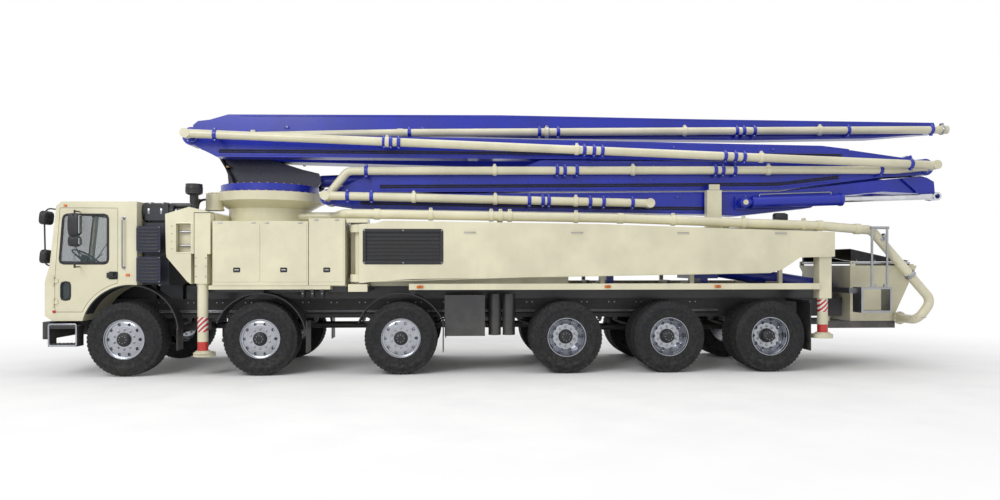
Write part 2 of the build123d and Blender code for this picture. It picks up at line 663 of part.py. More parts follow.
with BuildPart() as pedestal:
    for side in SIDES.values():
        inner, outer = RAIL_OUTER_Y - RAIL_FLANGE, RAIL_OUTER_Y
        block((600, 10900), span(side, inner, outer), (RAIL_TOP, SUBFRAME_TOP))
    block((960, LOWER_BOX_REAR), (-1030, 1030), (1215, SILL_Z[1]))
    block((1250, LOWER_BOX_REAR), (-690, 690), (SUBFRAME_TOP, BOX_TOP))
    block((960, 1250), (-1030, 1030), (SUBFRAME_TOP, 1785))
    slab(HOUSING_PROFILE, (-HALF_WIDTH, HALF_WIDTH))
    slab(GUSSET_PROFILE, (-HALF_WIDTH, 1050))
    for lane, side in ((LEFT_BEAM, -1), (RIGHT_BEAM, 1)):
        low, high = lane[0] - TUNNEL_CLEARANCE, lane[1] + TUNNEL_CLEARANCE
        heights = (BEAM_BOTTOM - SEAT_GAP, BEAM_TOP + TUNNEL_CLEARANCE)
        block((low, high), (-HALF_WIDTH - 10, HALF_WIDTH + 10), heights, Mode.SUBTRACT)
    block((990, 1250), (-HALF_WIDTH - 10, -1050), (1600, 2380), Mode.SUBTRACT)
    block((715, 975), (1050, HALF_WIDTH + 10), (1600, 2380), Mode.SUBTRACT)
    block((730, 960), (-HALF_WIDTH - 10, -1150), (1793, 2226), Mode.SUBTRACT)
    block((985, 1200), (1150, HALF_WIDTH + 10), (1793, 2226), Mode.SUBTRACT)
    for side in SIDES.values():
        block((4090, 10291), span(side, 1150, HALF_WIDTH - 2), SIDE_RAIL_Z)
        for station in (4200, 5800, 7150, 8700, 10100):
            block((station, station + 100), span(side, RAIL_OUTER_Y - 10, 1160), (1250, SUBFRAME_TOP))
        block((3200, 3480), span(side, RAIL_OUTER_Y - 10, 1230), (1225, 1335))
        block((3200, 3300), span(side, 600, 930), (1300, 2250))
        block((3180, 3480), span(side, 900, 1230), (2240, 2300))
        post(SWING_PIN_STATION, side * SWING_PIN_Y, 50, (1300, 2290))
    block((LOWER_BOX_REAR, LOWER_BOX_REAR + SEAM), (-500, 500), (1000, 1400), Mode.SUBTRACT)
    post(SLEW_STATION, 0, PEDESTAL_RADIUS + SEAM, (BOX_TOP, 2480), Mode.SUBTRACT)
    post(SLEW_STATION, 0, PEDESTAL_RADIUS, (BOX_TOP + SEAM, 2560))
    with BuildSketch(Plane.XY.offset(2500)) as waist:
        with Locations((at(SLEW_STATION), 0)):
            Circle(PEDESTAL_RADIUS)
    with BuildSketch(Plane.XY.offset(FLANGE_BOTTOM)) as rim_of_flange:
        with Locations((at(SLEW_STATION), 0)):
            Circle(FLANGE_RADIUS - 20)
    loft([waist.sketch.face(), rim_of_flange.sketch.face()])
    post(SLEW_STATION, 0, FLANGE_RADIUS, (FLANGE_BOTTOM, FLANGE_TOP))
    post(*GEARBOX, (2465, 2700))
    post(SLEW_STATION, 0, 330, (2400, FLANGE_TOP + 5), Mode.SUBTRACT)
write(pedestal.part, "pedestal")

# ================================================================ body over the chassis
DECK_TOP = 2200.0
BOOM_REST_TOP = 2790.0
with BuildPart() as side_cabinets:
    for side in SIDES.values():
        block((1256, 2624), span(side, 700, HALF_WIDTH), (SILL_Z[1], 2258))
        block((2634, 3155), span(side, 700, HALF_WIDTH), (SILL_Z[1], 2300))
        block((1195, 2941), span(side, 1030, 1225), SILL_Z)
    block((3490, 6500), (-900, 900), (SUBFRAME_TOP, 2190))
    block((6500, 10550), (-915, 915), (2160, DECK_TOP))
    block((8700, 8930), (-800, -675), (DECK_TOP + SEAT_GAP, BOOM_REST_TOP))
    for station in (7000, 8400, 9800):
        for side in SIDES.values():
            block((station, station + 60), span(side, 840, 900), (SUBFRAME_TOP, 2160))
            block((station, station + 60), span(side, RAIL_OUTER_Y - 30, 900), (SUBFRAME_TOP, SUBFRAME_TOP + 60))
write(side_cabinets.part, "side_cabinets")

with BuildPart() as toolbox_and_tanks:
    block((4610, 5211), (-1150, -760), (560, 1171))
    block((4700, 5120), (-765, -RAIL_OUTER_Y), (850, 1000))
    for station in (5365, 5580):
        post(station, -950, 95, (560, 1180))
        block((station - 30, station + 30), (-900, -RAIL_OUTER_Y), (850, 1000))
    bar((4650, 830, 800), (5650, 830, 800), 280)
    for station in (4850, 5400):
        block((station, station + 60), (RAIL_OUTER_Y, 700), (850, 1000))
write(toolbox_and_tanks.part, "toolbox_and_tanks")

DECK_PIPE_RADIUS = 70.0
DECK_PIPE_Z = 2310.0
DECK_PIPE_Y = -1000.0
OUTLET = (11980.0, 760.0)
OUTLET_HALF_WIDTH = 520.0
OUTLET_RADIUS = 85.0
PIPE_CLAMPS = (5444.0, 8960.0)
DECK_PIPE_LINE = ((3600.0, 2379.0), (7280.0, 2330.0), (10400.0, 2226.0), (11000.0, 2178.0))
COLLAR_RADIUS = 82.0


def swept_pipe(points, bend=150.0, radius=DECK_PIPE_RADIUS):
    """A pipe along (station, y, height) points, with round bends at the corners."""
    with BuildLine() as route:
        FilletPolyline(*[(at(station), y, height) for station, y, height in points], radius=bend)
    wire = route.wire()
    with BuildSketch(Plane(origin=wire @ 0, z_dir=wire % 0)) as section:
        Circle(radius)
    sweep(section.sketch, path=wire)


with BuildPart() as deck_pipe:
    first, last = DECK_PIPE_LINE[0], DECK_PIPE_LINE[-1]
    rise = DECK_PIPE_Z + 75
    swept_pipe([(2300, -300, rise), (2850, -300, rise), (3120, DECK_PIPE_Y, rise), (first[0], DECK_PIPE_Y, first[1])])
    for start, end in zip(DECK_PIPE_LINE, DECK_PIPE_LINE[1:]):
        bar((start[0] - 2, DECK_PIPE_Y, start[1]), (end[0] + 2, DECK_PIPE_Y, end[1]), DECK_PIPE_RADIUS - 0.5)
    for station, height in DECK_PIPE_LINE:
        bar((station - 45, DECK_PIPE_Y, height), (station + 45, DECK_PIPE_Y, height), COLLAR_RADIUS)
    swept_pipe(
        [
            (last[0], DECK_PIPE_Y, last[1]),
            (11230, DECK_PIPE_Y, 2160),
            (12200, DECK_PIPE_Y, 1060),
            (OUTLET[0], DECK_PIPE_Y, OUTLET[1]),
            (OUTLET[0], -OUTLET_HALF_WIDTH - SEAT_GAP, OUTLET[1]),
        ]
    )
    for station in PIPE_CLAMPS:
        block((station - 40, station + 40), (-950, -850), (DECK_TOP, 2290))
    block((PIPE_CLAMPS[0] - 40, PIPE_CLAMPS[0] + 40), (-900, -850), (2190, DECK_TOP))
    post(SLEW_STATION, 0, PEDESTAL_RADIUS + SEAT_GAP, (2200, 2600), Mode.SUBTRACT)
write(deck_pipe.part, "deck_pipe")

# ================================================================ pump and hopper
HOPPER_TOP = [(10960, 12040), 880.0, 1610.0]
HOPPER_BOTTOM = [(11200, 11900), 430.0, 700.0]
HOPPER_WALL = 14.0
GRATE_STATION = 11000.0
GRATE_Z = 1650.0
GRATE_END = 11955.0
GRATE_SHAFT = 18.0


def hopper_layer(level, inset, lift=0.0):
    """One rectangular section of the hopper, drawn inward by a wall."""
    (front, rear), half_width, height = level
    with BuildSketch(Plane.XY.offset(height + lift)) as layer:
        with Locations((at((front + rear) / 2), 0)):
            Rectangle(rear - front - 2 * inset, 2 * (half_width - inset))
    return layer.sketch.face()


def corner_cut(corner, side, height):
    """Thin strip across a corner of the hopper at a height, from its outer to its inner edge."""
    share = (height - HOPPER_BOTTOM[2]) / (HOPPER_TOP[2] - HOPPER_BOTTOM[2])
    station = HOPPER_BOTTOM[0][corner] + share * (HOPPER_TOP[0][corner] - HOPPER_BOTTOM[0][corner])
    half_width = HOPPER_BOTTOM[1] + share * (HOPPER_TOP[1] - HOPPER_BOTTOM[1])
    turn = side * (45 if corner else -45)
    with BuildSketch(Plane.XY.offset(height)) as strip:
        with Locations((at(station), side * half_width)):
            Rectangle(100, SEAM, rotation=turn)
    return strip.sketch.face()


with BuildPart() as hopper:
    loft([hopper_layer(HOPPER_BOTTOM, 0), hopper_layer(HOPPER_TOP, 0)])
    loft(
        [hopper_layer(HOPPER_BOTTOM, HOPPER_WALL, HOPPER_WALL), hopper_layer(HOPPER_TOP, HOPPER_WALL, 1)],
        mode=Mode.SUBTRACT,
    )
    for side in SIDES.values():
        block((10700, 11960), span(side, 360, 420), (590, 705))
        block((10700, 10860), span(side, 360, 420), (700, RAIL_BOTTOM))
        block((10970, 11030), span(side, 840, HOPPER_TOP[1]), (HOPPER_TOP[2] + SEAT_GAP, GRATE_Z + 32))
        for corner in (0, 1):
            low_cut = corner_cut(corner, side, HOPPER_BOTTOM[2] + HOPPER_WALL)
            loft([low_cut, corner_cut(corner, side, HOPPER_TOP[2] + 0.2)], mode=Mode.SUBTRACT)
        bore((GRATE_STATION, GRATE_Z), span(side, 800, 900), GRATE_SHAFT + BEARING_GAP)
    block((11960, 12040), (-800, 800), (HOPPER_TOP[2] + SEAT_GAP, 1634.5))
    floor_top = HOPPER_BOTTOM[2] + HOPPER_WALL
    block((10900, 12100), (-900, 900), (floor_top, floor_top + SEAM), Mode.SUBTRACT)
    block((10860, 10860 + SEAM), (-430, 430), (580, 720), Mode.SUBTRACT)
    reach = OUTLET_HALF_WIDTH + SEAM
    disc(OUTLET, OUTLET_RADIUS + SEAM, (-reach, reach), Mode.SUBTRACT)
    block((11890 - SEAM, 11990 + SEAM), (-300 - SEAM, 300 + SEAM), (700 - SEAM, 860 + SEAM), Mode.SUBTRACT)
with BuildPart() as outlet:
    disc(OUTLET, OUTLET_RADIUS, (-OUTLET_HALF_WIDTH, OUTLET_HALF_WIDTH))
    block((11890, 11990), (-300, 300), (700, 860))
write(Compound(children=[*hopper.part.solids(), *outlet.part.solids()]), "hopper")

with BuildPart() as hopper_grate:
    disc((GRATE_STATION, GRATE_Z), GRATE_SHAFT, (-870, 870))
    for step in range(9):
        y = -800 + 200 * step
        block((11000, GRATE_END), (y - 8, y + 8), (1635, 1665))
    for station in (11060, 11540, GRATE_END - 16):
        block((station, station + 16), (-800, 800), (1640, 1660))
    block((GRATE_END, GRATE_END + 16), (-808, 808), (1635, 1665))
write(hopper_grate.part, "hopper_grate")

with BuildPart() as pump_unit:
    for side in SIDES.values():
        y = side * 165
        bar((9000, y, 1560), (10990, y, 1243), 115)
        bar((6900, y, 1760), (8600, y, 1622), 80)
    block((8560, 9040), (-330, 330), (1400, 1800))
    for station in (7200, 8750):
        block((station, station + 120), (-330, 330), (SUBFRAME_TOP, 1450))
        for side in SIDES.values():
            block((station, station + 120), span(side, 300, 420), (SUBFRAME_TOP, SUBFRAME_TOP + 30))
    block((7200, 7320), (-330, 330), (1440, 1700))
    block((10700, 10800), (-420, 420), (SUBFRAME_TOP, SUBFRAME_TOP + 25))
write(pump_unit.part, "pump_unit")

with BuildPart() as rear_platform:
    for side in SIDES.values():
        block((10960, 11445), span(side, 950, 1200), (887, 920))
        block((10960, 10990), span(side, 950, 1200), (887, 1277))
        block((11415, 11445), span(side, 950, 1200), (887, 1277))
        block((10960, 11445), span(side, 950, 1200), (1247, 1277))
        block((10900, 10990), span(side, 420, 960), (1180, 1260))
        for station in (11160, 11400):
            post(station, side * 1140, 18, (1270, 2190))
        bar((11135, side * 1140, 2190), (11425, side * 1140, 2190), 21)
write(rear_platform.part, "rear_platform")


# ================================================================ boom
def feet(stations, line, y_face, y_pipe):
    """Bracket feet from an arm's side to its pipe."""
    low, high = sorted((y_face, y_pipe))
    for station in stations:
        share = (station - line[0][0]) / (line[1][0] - line[0][0])
        height = line[0][1] + share * (line[1][1] - line[0][1])
        block((station - 35, station + 35), (low, high), (height - 30, height + 30))


def pipe_run(points, y, bend=160.0, radius=PIPE_RADIUS):
    """A delivery pipe in one vertical plane, with round bends at its corners."""
    corners = [(at(station), y, height) for station, height in points]
    with BuildLine() as route:
        if len(corners) > 2:
            FilletPolyline(*corners, radius=bend)
        else:
            Line(*corners)
    wire = route.wire()
    with BuildSketch(Plane(origin=wire @ 0, z_dir=wire % 0)) as section:
        Circle(radius)
    sweep(section.sketch, path=wire)


IN_JOINT = (INNER_PIPE_Y - SWIVEL_RADIUS - 5, INNER_PIPE_Y + PIPE_RADIUS + 3)
OUT_JOINT = (OUTER_PIPE_Y - PIPE_RADIUS - 6, IN_JOINT[0] - SWIVEL_GAP)
TONGUE = (NEAR_COLUMN[0] + FORK_PLATE + 10, NEAR_COLUMN[1] - FORK_PLATE - 10)
SLOT_CRANK = (NEAR_COLUMN[1] + 6, NEAR_COLUMN[1] + 6 + CRANK)
NEAR_CRANK = (NEAR_COLUMN[0] - 20 - CRANK, NEAR_COLUMN[0] - 20)
FAR_CRANK = (FAR_COLUMN[1] + 10, FAR_COLUMN[1] + 10 + CRANK)

# Rest places of the cylinder pins.
LIFT_BASE = (2430.0, 2990.0)
LIFT_EYE = (5260.0, 3120.0)
B_BASE = (9300.0, 2600.0)
B_EYE = (12410.0, 2712.0)
C_BASE = (6200.0, 2640.0)
C_EYE = (2905.0, 2841.0)
D_BASE = (9700.0, 3080.0)
D_EYE = (12290.0, 3380.0)
E_BASE = (3600.0, 3860.0)
E_EYE = (620.0, 3790.0)

CHEEK_PROFILE = [
    (1130, RING_TOP),
    (2520, RING_TOP),
    (2600, 2960),
    (2560, 3100),
    (2300, 3160),
    (1700, 3350),
    (1150, 3555),
    (990, 3440),
    (1000, 3325),
    (1060, 3200),
    (1110, 3080),
]
CHEEK_EYE = 140.0
with BuildPart() as turret:
    post(SLEW_STATION, 0, RING_RADIUS, (FLANGE_TOP + RING_GAP, RING_TOP + 20))
    post(SLEW_STATION, 0, 320, (2500, FLANGE_TOP + 10))
    for y_low in (FAR_COLUMN[0] - 10 - CHEEK, FAR_COLUMN[1] + 10):
        slab(CHEEK_PROFILE, (y_low, y_low + CHEEK))
        disc(PIVOT_TURRET, CHEEK_EYE, (y_low, y_low + CHEEK))
        bore(PIVOT_TURRET, (y_low - 5, y_low + CHEEK + 5))
    slab(
        [(1150, 2860), (1120, 3080), (1070, 3180), (1100, 3220), (1170, 3090), (1200, 2860)],
        (FAR_COLUMN[0] - 15, FAR_COLUMN[1] + 15),
    )
    for y_range in ((40, 75), (325, 360)):
        disc(LIFT_BASE, 110, y_range)
        slab([(2330, 2850), (2520, 2850), (2530, 2990), (2330, 2990)], y_range)
    disc(LIFT_BASE, 40, (50, 350))
    pipe_run([PIVOT_TURRET, (1480, 3000), (1480, 2860)], TURRET_PIPE_Y)
    turret_joint = (FAR_PIPE_Y + PIPE_RADIUS + 6 + SWIVEL_GAP, TURRET_PIPE_Y + PIPE_RADIUS + 6)
    disc(PIVOT_TURRET, SWIVEL_RADIUS, turret_joint)
write(turret.part, "turret")

A_PROFILE = [
    (1020, 3572),
    (2400, 3690),
    (5600, 3500),
    (12270, 3050),
    (12330, 2800),
    (12270, 2770),
    (10200, 2850),
    (6500, 3010),
    (5500, 3225),
    (2200, 3290),
    (1080, 3325),
]
ARM_A_LINE = (PIVOT_TURRET, PIVOT_AB)
with BuildPart() as boom_arm_a:
    slab(A_PROFILE, FAR_COLUMN)
    eye(PIVOT_TURRET, 132, FAR_COLUMN)
    eye(PIVOT_AB, 145, FAR_COLUMN)
    disc(PIVOT_TURRET, PIN_RADIUS, (FAR_COLUMN[0] - 80, FAR_COLUMN[1] + 80))
    disc(PIVOT_AB, PIN_RADIUS, (NEAR_CRANK[0], FAR_COLUMN[1] + 30))
    slab(
        [(11920, 3010), (12330, 3030), (12460, 2960), (12480, 2740), (12410, 2650), (12330, 2660)],
        NEAR_CRANK,
    )
    for y_range in ((40, 75), (325, 360)):
        slab([(5140, 3300), (5150, 3060), (5360, 3060), (5400, 3300)], y_range)
        disc(LIFT_EYE, 80, y_range)
    feet((2200, 4600, 7000, 9400, 11500), ARM_A_LINE, FAR_COLUMN[1] - 5, FAR_PIPE_Y - 40)
with BuildPart() as pipe_a:
    pipe_run(ARM_A_LINE, FAR_PIPE_Y)
    disc(PIVOT_TURRET, SWIVEL_RADIUS, (FAR_COLUMN[1] + 85, FAR_PIPE_Y + PIPE_RADIUS + 6))
    disc(PIVOT_AB, SWIVEL_RADIUS, (FAR_COLUMN[1] + 35, FAR_PIPE_Y + PIPE_RADIUS + 6))
arm_a_solid = boom_arm_a.part - pipe_a.part
write(Compound(children=[*arm_a_solid.solids(), *pipe_a.part.solids()]), "boom_arm_a")

B_PROFILE = [
    (3160, 2712),
    (7700, 2765),
    (10000, 2795),
    (11680, 2995),
    (12270, 3050),
    (12270, 2772),
    (11630, 2800),
    (10700, 2700),
    (10450, 2535),
    (9250, 2400),
    (8700, 2425),
    (3160, 2490),
]
P4_LINE = ((2805, 2668), (7772, 2575))
with BuildPart() as boom_arm_b:
    slab(B_PROFILE, NEAR_COLUMN)
    eye(PIVOT_AB, 142, NEAR_COLUMN)
    bore(PIVOT_AB, (NEAR_COLUMN[0] - 5, NEAR_COLUMN[1] + 5))
    for y_low in (NEAR_COLUMN[0], NEAR_COLUMN[1] - FORK_PLATE):
        plate = (y_low, y_low + FORK_PLATE)
        slab([(2820, 2760), (3300, 2712), (3300, 2490), (2820, 2560)], plate)
        disc(PIVOT_BC, 125, plate)
        bore(PIVOT_BC, (y_low - 5, y_low + FORK_PLATE + 5))
    block((8730, 8900), (-655, NEAR_COLUMN[0]), (2600, 2780))
    block((8730, 8900), (-800, -630), (2796, 2880))
    block((8730, 8900), (-655, -630), (2770, 2880))
    block((8720, 8910), (-655 - SEAM, -655), (2785, 2890), Mode.SUBTRACT)
    block((9200, 9400), (-665, NEAR_COLUMN[0]), (2500, 2700))
    disc(B_BASE, 40, (-855, NEAR_COLUMN[0]))
    slab([(6100, 2560), (6300, 2560), (6300, 2720), (6100, 2720)], (NEAR_COLUMN[1], -245))
    disc(C_BASE, 40, (NEAR_COLUMN[1], -70))
    feet((3400, 6125, 7090, 7497), P4_LINE, NEAR_COLUMN[0] + 5, OUTER_PIPE_Y + 40)
    block((2600, 12500), (NEAR_COLUMN[0] - SEAM, NEAR_COLUMN[0]), (2300, 3100), Mode.SUBTRACT)
with BuildPart() as pipe_b:
    pipe_run([PIVOT_BC, P4_LINE[1]], OUTER_PIPE_Y)
    disc(PIVOT_BC, SWIVEL_RADIUS, OUT_JOINT)
    disc(P4_LINE[1], SWIVEL_RADIUS, (OUTER_PIPE_Y - PIPE_RADIUS, NEAR_COLUMN[0]))
arm_b_solid = boom_arm_b.part - pipe_b.part
write(Compound(children=[*arm_b_solid.solids(), *pipe_b.part.solids()]), "boom_arm_b")

C_PROFILE = [
    (3480, 3100),
    (5750, 3112),
    (6100, 3262),
    (11010, 3262),
    (11010, 2955),
    (10000, 2820),
    (7700, 2790),
    (3480, 2745),
]
P3_LINE = ((3115, 3062), (11800, 3140))
with BuildPart() as boom_arm_c:
    slab(C_PROFILE, NEAR_COLUMN)
    slab([(3550, 3100), (3400, 3010), (2900, 2770), (2805, 2560), (2960, 2735), (3550, 2745)], TONGUE)
    disc(PIVOT_BC, 120, TONGUE)
    disc(PIVOT_BC, PIN_RADIUS, (NEAR_COLUMN[0] - 10, SLOT_CRANK[1]))
    for y_low in (NEAR_COLUMN[0], NEAR_COLUMN[1] - FORK_PLATE):
        plate = (y_low, y_low + FORK_PLATE)
        slab([(10930, 3262), (11630, 3262), (12330, 3330), (12410, 3080), (11630, 3030), (10930, 2945)], plate)
        disc(PIVOT_CD, 135, plate)
        bore(PIVOT_CD, (y_low - 5, y_low + FORK_PLATE + 5))
    slab([(2740, 2668), (2850, 2900), (2960, 2880), (2960, 2780), (2870, 2640)], SLOT_CRANK)
    slab([(9600, 3000), (9800, 3000), (9800, 3160), (9600, 3160)], (NEAR_COLUMN[1], -245))
    disc(D_BASE, 40, (NEAR_COLUMN[1], -70))
    feet((3600, 6467, 8979, 11200), P3_LINE, NEAR_COLUMN[0] + 5, INNER_PIPE_Y + 40)
with BuildPart() as pipe_c:
    pipe_run([PIVOT_BC, P3_LINE[0], P3_LINE[1], PIVOT_CD], INNER_PIPE_Y)
    disc(PIVOT_BC, SWIVEL_RADIUS, IN_JOINT)
    disc(PIVOT_CD, SWIVEL_RADIUS, IN_JOINT)
arm_c_solid = boom_arm_c.part - pipe_c.part
write(Compound(children=[*arm_c_solid.solids(), *pipe_c.part.solids()]), "boom_arm_c")

D_PROFILE = [
    (770, 3715),
    (1600, 3640),
    (10630, 3530),
    (11080, 3480),
    (11080, 3285),
    (1110, 3278),
    (770, 3460),
]
D_TONGUE = [(10980, 3490), (12190, 3330), (12330, 3080), (11630, 3240), (10980, 3285)]
P2_LINE = (PIVOT_DE, PIVOT_CD)
ARM_D_WIDTH = 280.0
with BuildPart() as boom_arm_d:
    slab(D_PROFILE, (NEAR_COLUMN[0], NEAR_COLUMN[0] + ARM_D_WIDTH))
    disc(PIVOT_DE, 140, NEAR_COLUMN)
    slab(D_TONGUE, TONGUE)
    disc(PIVOT_CD, 128, TONGUE)
    disc(PIVOT_CD, PIN_RADIUS, (NEAR_COLUMN[0] - 10, SLOT_CRANK[1]))
    slab([(12304, 3100), (12217, 3408), (12331, 3446), (12446, 3148)], SLOT_CRANK)
    disc(PIVOT_DE, PIN_RADIUS, (NEAR_COLUMN[0] - 10, FAR_CRANK[1]))
    slab([(716, 3494), (550, 3801), (644, 3857), (836, 3566)], FAR_CRANK)
    feet((1171, 3777, 6903, 9117), P2_LINE, NEAR_COLUMN[0] + 5, OUTER_PIPE_Y + 40)
with BuildPart() as pipe_d:
    pipe_run(P2_LINE, OUTER_PIPE_Y)
    disc(PIVOT_CD, SWIVEL_RADIUS, OUT_JOINT)
    disc(PIVOT_DE, SWIVEL_RADIUS, (OUTER_PIPE_Y - PIPE_RADIUS, NEAR_COLUMN[0] - 15))
arm_d_solid = boom_arm_d.part - pipe_d.part
write(Compound(children=[*arm_d_solid.solids(), *pipe_d.part.solids()]), "boom_arm_d")

E_PROFILE = [
    (620, 3600),
    (540, 3870),
    (620, 3940),
    (810, 3965),
    (1100, 4053),
    (5500, 4088),
    (8850, 4058),
    (12900, 4042),
    (12960, 3870),
    (11800, 3765),
    (9700, 3712),
    (6500, 3705),
    (1700, 3775),
    (1110, 3735),
    (870, 3600),
]
P1_ROOT = (785.0, 3660.0)
P1_START = (1350.0, 3690.0)
P1_KNEE = (3870.0, 3765.0)
P1_END = (TIP_STATION, 3910.0)
E_COLUMN = (FAR_COLUMN[0], FAR_COLUMN[0] + 240.0)
COUPLING_LENGTH = 150.0
COUPLING_RADIUS = 72.0
PIPE_BORE = 52.0
with BuildPart() as boom_arm_e:
    slab(E_PROFILE, E_COLUMN)
    disc(PIVOT_DE, 125, FAR_COLUMN)
    bore(PIVOT_DE, (FAR_COLUMN[0] - 5, FAR_COLUMN[1] + 5))
    slab([(3500, 3790), (3700, 3790), (3700, 3940), (3500, 3940)], (E_COLUMN[1] - 5, 430))
    disc(E_BASE, 35, (420, 600))
    block((1465, 1535), (TIP_PIPE_Y + 40, 5), (3664, 3800))
    feet((3753, 6278, 9555, 11339, 12700), (P1_KNEE, P1_END), 5, TIP_PIPE_Y + 40)
with BuildPart() as pipe_e:
    corners = [(station, TIP_PIPE_Y, height) for station, height in (P1_ROOT, P1_START, P1_KNEE, P1_END)]
    for start, end in zip(corners, corners[1:]):
        bar(start, end, PIPE_RADIUS)
    for station, y, height in corners[1:3]:
        bar((station - 45, y, height), (station + 45, y, height), COUPLING_RADIUS)
    bar((TIP_STATION - COUPLING_LENGTH, TIP_PIPE_Y, P1_END[1]), corners[3], COUPLING_RADIUS)
    disc(PIVOT_DE, PIN_RADIUS + 35, (TIP_PIPE_Y - SWIVEL_RADIUS, TIP_PIPE_Y + PIPE_RADIUS + 4))
    bore(PIVOT_DE, (TIP_PIPE_Y - 100, TIP_PIPE_Y + 100))
    block((TIP_STATION, TIP_STATION + 50), (-300, 200), (3700, 4200), Mode.SUBTRACT)
    bar(
        (TIP_STATION - COUPLING_LENGTH, TIP_PIPE_Y, P1_END[1]),
        (TIP_STATION + 10, TIP_PIPE_Y, P1_END[1]),
        PIPE_BORE,
        Mode.SUBTRACT,
    )
arm_e_solid = boom_arm_e.part - pipe_e.part
write(Compound(children=[*arm_e_solid.solids(), *pipe_e.part.solids()]), "boom_arm_e")


def cylinder(name, base, rod_eye, y, barrel_radius, rod_radius, eye_half, pin_radius, gland_share, retract):
    """A hydraulic cylinder at rest between its base pin and its rod's eye."""
    length = math.dist(base, rod_eye)
    gland = between(base, rod_eye, gland_share)
    start = between(base, rod_eye, (barrel_radius + 30) / length)
    bottom = between(base, rod_eye, (barrel_radius + 60) / length)
    reach = between(base, rod_eye, (barrel_radius + 90 + retract) / length)
    stop = between(base, rod_eye, 1 - pin_radius / length)
    neck = eye_half - 12
    with BuildPart() as barrel:
        bar((start[0], y, start[1]), (gland[0], y, gland[1]), barrel_radius)
        bar((base[0], y, base[1]), (start[0], y, start[1]), neck)
        disc(base, pin_radius + 35, (y - eye_half, y + eye_half))
        bar((bottom[0], y, bottom[1]), (gland[0], y, gland[1]), rod_radius + BEARING_GAP, Mode.SUBTRACT)
        bore(base, (y - eye_half - 5, y + eye_half + 5), pin_radius + BEARING_GAP)
    with BuildPart() as rod:
        bar((reach[0], y, reach[1]), (stop[0], y, stop[1]), rod_radius)
        disc(rod_eye, pin_radius + 28, (y - eye_half, y + eye_half))
        bore(rod_eye, (y - eye_half - 5, y + eye_half + 5), pin_radius + BEARING_GAP)
    write(barrel.part, f"cylinder_{name}_barrel")
    write(rod.part, f"cylinder_{name}_rod")


CYLINDERS = (
    # name, base pin, rod eye, y, barrel radius, rod radius, half width of the eyes, pin radius,
    # share of the length that the barrel covers, travel inward from rest
    ("a", LIFT_BASE, LIFT_EYE, 200.0, 100.0, 62.0, 75.0, 40.0, 0.9, 0.0),
    ("b", B_BASE, B_EYE, -765.0, 92.0, 48.0, 65.0, 40.0, 0.51, 250.0),
    ("c", C_BASE, C_EYE, -150.0, 78.0, 45.0, 60.0, 40.0, 0.55, 0.0),
    ("d", D_BASE, D_EYE, -150.0, 78.0, 45.0, 60.0, 40.0, 0.6, 20.0),
    ("e", E_BASE, E_EYE, 525.0, 70.0, 38.0, 60.0, 35.0, 0.6, 220.0),
)
for row in CYLINDERS:
    cylinder(*row)


# ================================================================ outriggers
def front_outrigger(side, lane):
    """A sliding cross beam with the head that holds its leg."""
    centre = (lane[0] + lane[1]) / 2
    head = (lane[0] - 10, lane[1] + 55) if side < 0 else (lane[0] - 15, lane[1] + 20)
    with BuildPart() as beam:
        block(lane, span(side, -1120, 1100), (BEAM_BOTTOM, BEAM_TOP))
        block(head, span(side, 1065, HALF_WIDTH), (1777, 2370))
        block((centre - 88, centre + 88), span(side, 1065, HALF_WIDTH), (1350, 1780))
        post(centre, side * 1152, FRONT_LEG_RADIUS + BEARING_GAP, (1340, 2340), Mode.SUBTRACT)
    with BuildPart() as leg:
        post(centre, side * 1152, FRONT_LEG_RADIUS, (330, 2300))
        post(centre, side * 1152, FRONT_LEG_RADIUS + 10, (320, 362))
        post(centre, side * 1083, FOOT_RADIUS - 10, (279, 335))
    return beam.part, leg.part


for side_name, lane in (("left", LEFT_BEAM), ("right", RIGHT_BEAM)):
    beam_part, leg_part = front_outrigger(SIDES[side_name], lane)
    write(beam_part, f"front_outrigger_{side_name}")
    write(leg_part, f"front_leg_{side_name}")

SWING_PROFILE = [
    (SWING_ARM_FRONT, 2218),
    (3600, 2233),
    (3720, 2270),
    (6920, 2228),
    (SWING_ARM_REAR, 2120),
    (SWING_ARM_REAR, 1745),
    (9981, 1731),
    (9717, 1555),
    (9516, 1496),
    (6324, 1440),
    (4105, 1411),
    (SWING_ARM_FRONT, 1353),
]
GRILLE = ((3440.0, 4570.0), (1650.0, 2125.0))
GRILLE_SLATS = 8


